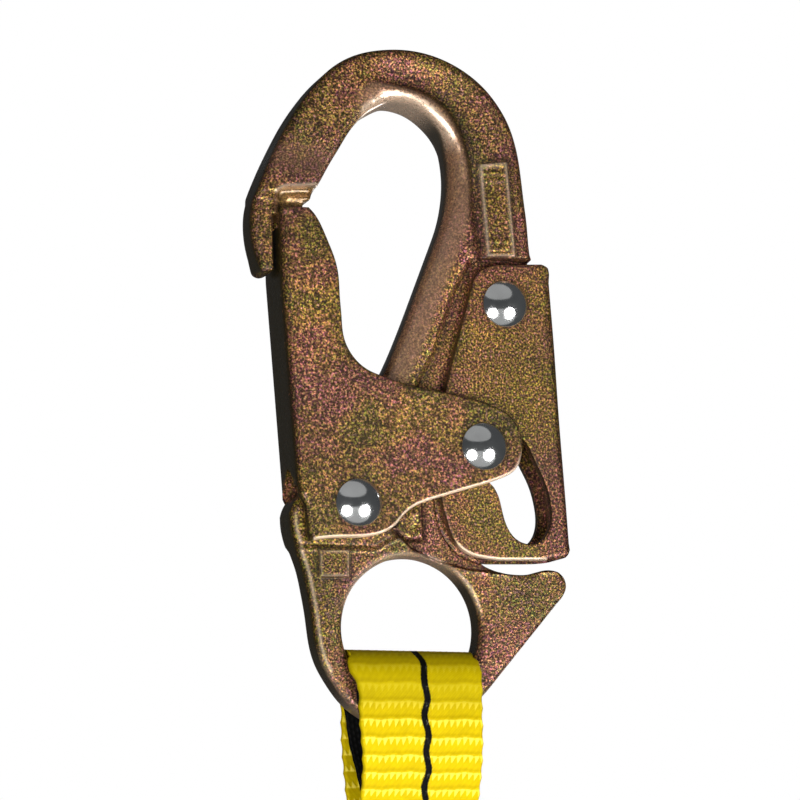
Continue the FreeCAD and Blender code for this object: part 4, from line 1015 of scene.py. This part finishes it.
def leg(sign, z0, y0, z1, y1, n=60):
    return [(sign * (y0 + (y1 - y0) * float(ss(np.array(t)))), z0 + (z1 - z0) * t) for t in np.linspace(0, 1, n)]


def resample(path, step):
    P = np.array(path, float)
    L = np.concatenate([[0], np.cumsum(np.linalg.norm(np.diff(P, axis=0), axis=1))])
    T = np.linspace(0, L[-1], int(round(L[-1] / step)) + 1)
    return np.stack([np.interp(T, L, P[:, 0]), np.interp(T, L, P[:, 1])], 1), T


def loop_path(r, hold, y_end, z_end):
    """From the end of the front leg up, over the ring and down the back leg."""
    front = leg(-1, hold, r, z_end, y_end)
    arc = [(-r * math.cos(a), LOOP_Z + r * math.sin(a)) for a in np.linspace(0, math.pi, 60)]
    back = leg(1, hold, r, z_end, y_end)
    return front[::-1] + arc + back


dist = -222.0 + 268.0
rr = 24.0 + THK / 2 + 0.2
ang = math.asin(rr / dist)
run = math.sqrt(dist * dist - rr * rr)
tang = (-run * math.sin(ang), -222.0 - run * math.cos(ang))

ply = [(-0.97, -182.0)] + loop_path(R_MID, -119.5, 0.97, -141.0) + [(0.97, -182.0)]
ply += leg(1, -182.5, 0.97, -188.5, 0.0, 20) + [(0.0, -222.0), tang]
# duplicate points out
clean = [ply[0]]
for q in ply[1:]:
    if math.hypot(q[0] - clean[-1][0], q[1] - clean[-1][1]) > 1e-4:
        clean.append(q)


def weave_relief(v, s, kind):
    """Relief 0..1 of the weave at v mm across and s mm along."""
    if kind == "liner":
        a = 0.5 + 0.5 * np.cos(2 * np.pi * (v / 0.9))
        b = 0.5 + 0.5 * np.cos(2 * np.pi * (s / 1.3 + 0.5 * np.floor(v / 0.9 + 0.5) % 1.0))
        return 0.55 * a + 0.45 * b
    # each weft band: a row of points hanging from a raised line, then a calmer strip of diagonals
    band, tooth = 3.3, 1.22
    t = np.mod(-s + 0.11 * np.sin(v * 0.55) + 0.07 * np.sin(v * 1.7 + 1.0), band) / band
    a = np.abs(np.mod(v / tooth + 0.12 * np.sin(s * 1.9), 1.0) - 0.5) * 2.0
    down = np.clip((t - 0.15) / 0.52, 0, 1)
    tri = np.clip((1.08 - down - a) / 0.50, 0, 1) * (t < 0.70)
    top = np.clip(1.5 - np.abs(t - 0.11) / 0.085, 0, 1)
    tri = np.maximum(tri, 0.8 * top) * ss((t + 0.02) / 0.14)
    diag = 0.5 + 0.5 * np.cos(2 * np.pi * (v / tooth - s / 1.65))
    # tone: pale teeth, partly the weave pattern and partly painted highlight, with painted shade towards each band's
    # foot
    if kind == "tone":
        return np.clip(np.maximum(0.95 * tri, 0.34 + 0.12 * diag - 0.26 * ss((t - 0.72) / 0.2)), 0, 1)
    calm = 0.40 + 0.06 * diag + 0.50 * ss((t - 0.80) / 0.3)
    start = 0.65 * (1 - ss((t - 0.02) / 0.25))
    return np.clip(np.maximum(0.88 * tri, np.maximum(calm, start)), 0, 1)


def hole_half(z, r):
    """Half width of the eye at height z, for a band passing through it."""
    q = r * r - (z - EYE_C[1]) ** 2
    return np.sqrt(np.maximum(q, 9.0))


def strap(name, path, thick, width, step_s, step_v, relief, kind, clamp_r=13.15, edge=0.22, flare=0.0, taper=None):
    P, S = resample(path, step_s)
    t = np.gradient(P, axis=0)
    t /= np.linalg.norm(t, axis=1)[:, None]
    nrm = np.stack([-t[:, 1], t[:, 0]], 1)
    # make the normal point away from the loop's inside (outer face)
    mid = len(P) // 2
    if np.dot(nrm[np.argmax(P[:, 1])], (0, 1)) < 0:
        nrm = -nrm
    nv = int(round(width / step_v)) + 1
    v = np.linspace(-width / 2, width / 2, nv)
    SS, VV = np.meshgrid(S, v, indexing="ij")
    rel_o = weave_relief(VV + 40.0, SS + 200.0, kind)
    rel_i = weave_relief(VV + 40.6, SS + 201.1, kind)
    # side edges: rounded selvedge with a scallop for every weft turn
    side = np.clip((width / 2 - np.abs(VV)) / 0.75, 0, 1)
    selv = np.sqrt(np.clip(1 - (1 - side) ** 2, 0, 1))
    scal = edge * np.abs(np.sin(np.pi * SS / 3.3)) * np.sign(VV) * np.clip((np.abs(VV) - width / 2 + 1.5) / 1.5, 0, 1)
    # stretched smoother over the ring than along the legs
    amp = relief * (0.18 + 0.82 * ss((-110.5 - P[:, 1]) / 9.0))[:, None]
    out_h = (thick / 2 - amp) * (0.30 + 0.70 * selv) + amp * rel_o * selv
    in_h = (thick / 2 - amp) * (0.30 + 0.70 * selv) + amp * rel_i * selv
    yo = P[:, 0][:, None] + nrm[:, 0][:, None] * out_h
    zo = P[:, 1][:, None] + nrm[:, 1][:, None] * out_h
    yi = P[:, 0][:, None] - nrm[:, 0][:, None] * in_h
    zi = P[:, 1][:, None] - nrm[:, 1][:, None] * in_h
    xb = XC + VV - scal
    out = []
    for y, z in ((yo, zo), (yi, zi)):
        x = xb.copy()
        half = hole_half(np.minimum(z, P[:, 1][:, None] + 0.4), clamp_r)
        near = 1 - ss((np.abs(y) - 3.75) / 0.9)
        near = near * (z > -114.0)
        lo_ = EYE_C[0] - half
        hi_ = EYE_C[0] + half
        # over the ring the band spreads towards its left edge, as far as the eye leaves room
        relax = ss((P[:, 1][:, None] + 114.5) / 6.5)
        x = x - flare * relax * ss((-VV - width / 2 + 9.0) / 9.0)
        if kind == "web":
            # the front leg draws in a little below the ring
            neck = ss((-117.0 - z) / 13.0) * (1 - ss((-134.0 - z) / 7.0)) * (y < -0.5)
            x = x + neck * (0.5 + 0.85 * np.clip((width / 2 - VV) / width, 0, 1))
        if taper:
            # the strip narrows from its left side towards its lower end
            left = np.clip((width / 2 - VV) / width, 0, 1)
            x = x + (taper[0] + taper[1] * np.clip((taper[2] - z) / taper[3], 0, 1.4)) * left ** 2 * (1 - relax)
        xc = np.clip(x, lo_, hi_)
        x = x + (xc - x) * near
        out.append(np.stack([x, y, z], -1))
    m, n = SS.shape
    A = out[0].reshape(-1, 3)
    B = out[1].reshape(-1, 3)
    V = np.concatenate([A, B])
    idx = np.arange(m * n).reshape(m, n)
    q = np.stack([idx[:-1, :-1], idx[1:, :-1], idx[1:, 1:], idx[:-1, 1:]], -1).reshape(-1, 4)
    off = m * n
    F = q.tolist() + (q[:, ::-1] + off).tolist()
    loop = list(idx[0, :]) + list(idx[1:, -1]) + list(idx[-1, -2::-1]) + list(idx[-2:0:-1, 0])
    L = len(loop)
    for k in range(L):
        a, b = int(loop[k]), int(loop[(k + 1) % L])
        F.append((a, b, b + off, a + off))
    me = make_mesh(name, V, F)
    fix_normals(me)
    at = me.attributes.new("weave", "FLOAT_VECTOR", "POINT")
    # tone for the colour: painted highlight and shade from the weave; for the liner the relief itself is used as
    # painted shading
    if kind == "web":
        tone_o, tone_i = weave_relief(VV + 40.0, SS + 200.0, "tone"), weave_relief(VV + 40.6, SS + 201.1, "tone")
    else:
        tone_o, tone_i = rel_o, rel_i
    # the pattern follows the band as it spreads over the ring
    uu = VV + 0.5 * ss((P[:, 1] + 112.5) / 5.0)[:, None]
    w = np.concatenate([np.stack([uu, SS, tone_o * (0.4 + 0.6 * selv)], -1).reshape(-1, 3),
                        np.stack([uu, SS, tone_i * (0.4 + 0.6 * selv)], -1).reshape(-1, 3)])
    at.data.foreach_set("vector", w.astype(np.float32).ravel())
    # painted shade over the top of the loop, fading out by z -122
    top_shade_rows = np.repeat(ss((P[:, 1] + 122.0) / 9.0)[:, None], SS.shape[1], axis=1).ravel()
    at = me.attributes.new("top_shade", "FLOAT", "POINT")
    at.data.foreach_set("value", np.concatenate([top_shade_rows, top_shade_rows]).astype(np.float32))
    return me


web_me = strap("webbing_strap", clean, THK, WID, 0.2, 0.16, 0.32, "web", edge=0.24, flare=2.0)
web = link("webbing_strap", web_me)
web_me.materials.append(M_WEB)
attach(web, "line")
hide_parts("webbing")

lin_path = [p for p in loop_path(4.65, -121.0, 1.17, -133.0)]
lin_me = strap("wear_liner_strip", lin_path, 0.86, 24.4, 0.3, 0.22, 0.14, "liner", clamp_r=13.1, edge=0.1, taper=(0.0, 1.75, -115.0, 12.5))
lin = link("wear_liner_strip", lin_me)
lin_me.materials.append(M_LINER)
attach(lin, "line")
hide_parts("wear_liner")


def stitches():
    """Rows of lock stitches: each a small sunk-ended thread loop on both faces, plus two edge seams."""
    V, F = [], []
    rings, seg = 9, 8

    def one(cx, cy, cz, dx, dz, sign):
        base = len(V)
        L = math.hypot(dx, dz)
        ux, uz = dx / L, dz / L
        px, pz = -uz, ux
        for i in range(rings):
            t = i / (rings - 1)
            bow = math.sin(math.pi * t)
            rad = 0.30 * (0.55 + 0.45 * math.sqrt(max(bow, 0.0)))
            lift = -0.28 + 0.42 * bow ** 0.6
            for k in range(seg):
                a = 2 * math.pi * k / seg
                o1, o2 = rad * math.cos(a), rad * math.sin(a) * 0.75
                V.append((cx + ux * L * (t - 0.5) + px * o1, cy + sign * (lift + o2), cz + uz * L * (t - 0.5) + pz * o1))
        for i in range(rings - 1):
            for k in range(seg):
                a, b = base + i * seg + k, base + i * seg + (k + 1) % seg
                F.append((a, a + seg, b + seg, b))
        F.append(tuple(base + k for k in range(seg)))
        F.append(tuple(base + (rings - 1) * seg + k for k in range(seg))[::-1])

    for sign in (-1, 1):
        for j in range(11):
            z = -143.4 - 3.6 * j
            for i in range(8):
                one(XC - 8.32 + 2.377 * i, sign * 1.86, z, 2.2, 0.0, sign)
        for side in (-1, 1):
            for j in range(15):
                one(XC + side * 10.4, sign * 1.86, -143.6 - 2.5 * j, 0.0, 2.3, sign)
    me = make_mesh("box_stitching", V, F)
    fix_normals(me)
    return me


st_me = stitches()
st = link("box_stitching", st_me)
st_me.materials.append(M_THREAD)
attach(st, "line")
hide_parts("loop_stitching")

# ------------------------------------------------- return springs
def coil_mesh(name, x0, x1, z, rad, wire=0.35, turns=6.0, per=28, n=10):
    """Compression spring along X with closed ends."""
    steps = int(turns * per)
    pitch = (x1 - x0 - 2 * wire) / turns
    V, F = [], []
    for i in range(steps + 1):
        a = 2 * math.pi * turns * i / steps
        c = Vector((x0 + wire + pitch * turns * i / steps, rad * math.sin(a), z - rad * math.cos(a)))
        out = Vector((0.0, math.sin(a), -math.cos(a)))
        t = Vector((pitch / (2 * math.pi), rad * math.cos(a), rad * math.sin(a))).normalized()
        up = t.cross(out)
        for k in range(n):
            b = 2 * math.pi * k / n
            V.append(c + out * (wire * math.cos(b)) + up * (wire * math.sin(b)))
    for i in range(steps):
        for k in range(n):
            k2 = (k + 1) % n
            F.append((i * n + k, i * n + k2, (i + 1) * n + k2, (i + 1) * n + k))
    F.append(tuple(range(n))[::-1])
    F.append(tuple(steps * n + k for k in range(n)))
    me = make_mesh(name, V, F)
    fix_normals(me)
    me.materials.append(M_SPRING)
    return me


for nm, node, x0, x1, z, rad, jt, fixed, keep in (
        ("gate_return_spring", "gate_spring", -17.1, -2.6, -67.0, 2.2, "gate_hinge", -2.6, 0.53),
        ("lever_return_spring", "lever_spring", 18.1, 31.35, -48.5, 1.5, "lever_hinge", 18.1, 0.82)):
    o = link(nm, coil_mesh(nm, x0, x1, z, rad))
    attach(o, "hook")
    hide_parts(node)
    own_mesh(o)


# -------------------------------------------------- nodes kept from the CAD
KEEP = {"line_stop": M_RUBBER, "cover_left": M_CASE,
        "cover_right": M_CASE, "cover_screws": M_SCREW, "nozzle": M_CASE_TRIM, "frame_plate_left": M_STEEL,
        "frame_plate_right": M_STEEL, "foot_block": M_STEEL, "frame_ties": M_STEEL, "spring_cup": M_CASE_TRIM,
        "power_spring": M_SPRING, "ratchet_ring": M_STEEL, "spool": M_CASE_TRIM, "spool_shaft": M_STEEL,
        "pawl_carrier": M_STEEL, "pawl_a": M_STEEL, "pawl_b": M_STEEL, "swivel_eye": M_STAIN,
        "webbing_roll": moulded("webbing_roll_side", (0.80, 0.60, 0.0), 0.7, grain=900.0, depth=0.0002)}
for node, mat_ in KEEP.items():
    o = NODES[node]
    if len(o.material_slots):
        for s_ in o.material_slots:
            s_.material = mat_
    else:
        o.data.materials.append(mat_)

# ---------------------------------------------------------------- staging
def disc(name, r, z, rings=12, seg=64):
    V, F = [(0.0, 0.0, z)], []
    for k in range(1, rings + 1):
        V += [(r * k / rings * math.cos(2 * math.pi * i / seg), r * k / rings * math.sin(2 * math.pi * i / seg), z)
              for i in range(seg)]
    for i in range(seg):
        F.append((0, 1 + i, 1 + (i + 1) % seg))
    for k in range(rings - 1):
        a, b = 1 + k * seg, 1 + (k + 1) * seg
        F += [(a + i, b + i, b + (i + 1) % seg, a + (i + 1) % seg) for i in range(seg)]
    me = bpy.data.meshes.new(name)
    me.from_pydata(V, [], F)
    me.update()
    return me


# the floor takes no light: its look is a painted glow, grey near the middle and near white at the rim
floor = link("floor", disc("floor", 4.42, -0.62))
fm = Mat("floor_glow", (0.30, 0.30, 0.30), 0.8)
fx = fm.xyz()
far = fm.math("SQRT", fm.math("ADD", fm.math("MULTIPLY", fx[0], fx[0]), fm.math("MULTIPLY", fx[1], fx[1])))
floor_glow_col = fm.mix(fm.remap(far, 0.4, 3.6), (0.66, 0.66, 0.66), (0.97, 0.97, 0.97))
floor_glow_col = fm.mix(fm.remap(fm.noise(3.0, 3.0, 0.6), 0.3, 0.7), fm.mix(1.0, floor_glow_col, (0.985, 0.985, 0.985), "MULTIPLY"), floor_glow_col)
fm.b.inputs["Base Color"].default_value = (0.0, 0.0, 0.0, 1)
fm.l(floor_glow_col, fm.b.inputs["Emission Color"])
fm.b.inputs["Emission Strength"].default_value = 1.0
fm.b.inputs["Specular IOR Level"].default_value = 0.0
floor.data.materials.append(fm.m)
floor.visible_glossy = floor.visible_diffuse = floor.visible_shadow = False

# pale surround seen only behind the object
nu, nv_ = 48, 24
V, F = [], []
for j in range(nv_ + 1):
    th = math.pi * j / nv_
    for i in range(nu):
        ph = 2 * math.pi * i / nu
        V.append((4.5 * math.sin(th) * math.cos(ph), 4.5 * math.sin(th) * math.sin(ph), 4.5 * math.cos(th)))
for j in range(nv_):
    for i in range(nu):
        a, b = j * nu + i, j * nu + (i + 1) % nu
        F.append((a, b, b + nu, a + nu))
dm = bpy.data.meshes.new("surround")
dm.from_pydata(V, [], F)
dm.validate()
dome = link("surround", dm)
bm_ = bpy.data.materials.new("surround_glow")
bm_.use_nodes = True
bt = bm_.node_tree
bt.nodes.clear()
bo, be = bt.nodes.new("ShaderNodeOutputMaterial"), bt.nodes.new("ShaderNodeEmission")
be.inputs[0].default_value = (1, 1, 1, 1)
be.inputs[1].default_value = 1.0
bt.links.new(be.outputs[0], bo.inputs[0])
dm.materials.append(bm_)
dome.visible_diffuse = dome.visible_glossy = dome.visible_transmission = dome.visible_shadow = False


def lamp(name, loc, aim, size, power, shape="DISK", size_y=None, color=(1, 1, 1)):
    d = bpy.data.lights.new(name, "AREA")
    d.shape, d.size, d.energy, d.color = shape, size, power, color
    if size_y:
        d.size_y = size_y
    o = bpy.data.objects.new(name, d)
    bpy.context.scene.collection.objects.link(o)
    o.location = loc
    v = Vector(aim) - Vector(loc)
    o.rotation_euler = v.to_track_quat("-Z", "Y").to_euler()
    o.visible_camera = False
    return o


C0 = Vector((0.003, 0.0, -0.05))


def at_dir(d, r):
    return C0 + Vector(d).normalized() * r


lamp("low_left", at_dir((-0.545, -0.693, -0.467), 0.85), C0, 0.48, 6.6)
lamp("low_right", at_dir((0.44, -0.78, -0.42), 0.85), C0, 0.54, 8.2)
lamp("upper_front", at_dir((-0.16, -0.62, 0.77), 1.3), C0, 2.3, 2.5, "ELLIPSE", 1.6)
lamp("low_fill", at_dir((0.05, -0.78, -0.70), 1.4), C0, 2.8, 3.2, "ELLIPSE", 1.5)

# soft light from behind for the far side; diffuse only, so no face seen from the front glints
back = lamp("back_soft", at_dir((0.42, 0.86, 0.22), 1.5), Vector((0.0, 0.0, -0.17)), 1.3, 30.0, "ELLIPSE", 1.0)
back.visible_glossy = False
lamp("back_glint", at_dir((0.70, 0.66, -0.24), 0.9), C0, 0.26, 1.1)

world = bpy.data.worlds.new("World")
bpy.context.scene.world = world
world.use_nodes = True
world.node_tree.nodes["Background"].inputs[0].default_value = (0.062, 0.065, 0.068, 1)
world.node_tree.nodes["Background"].inputs[1].default_value = 1.0

bpy.context.scene.view_settings.view_transform = "Standard"
bpy.context.scene.view_settings.look = "None"

bpy.context.view_layer.update()
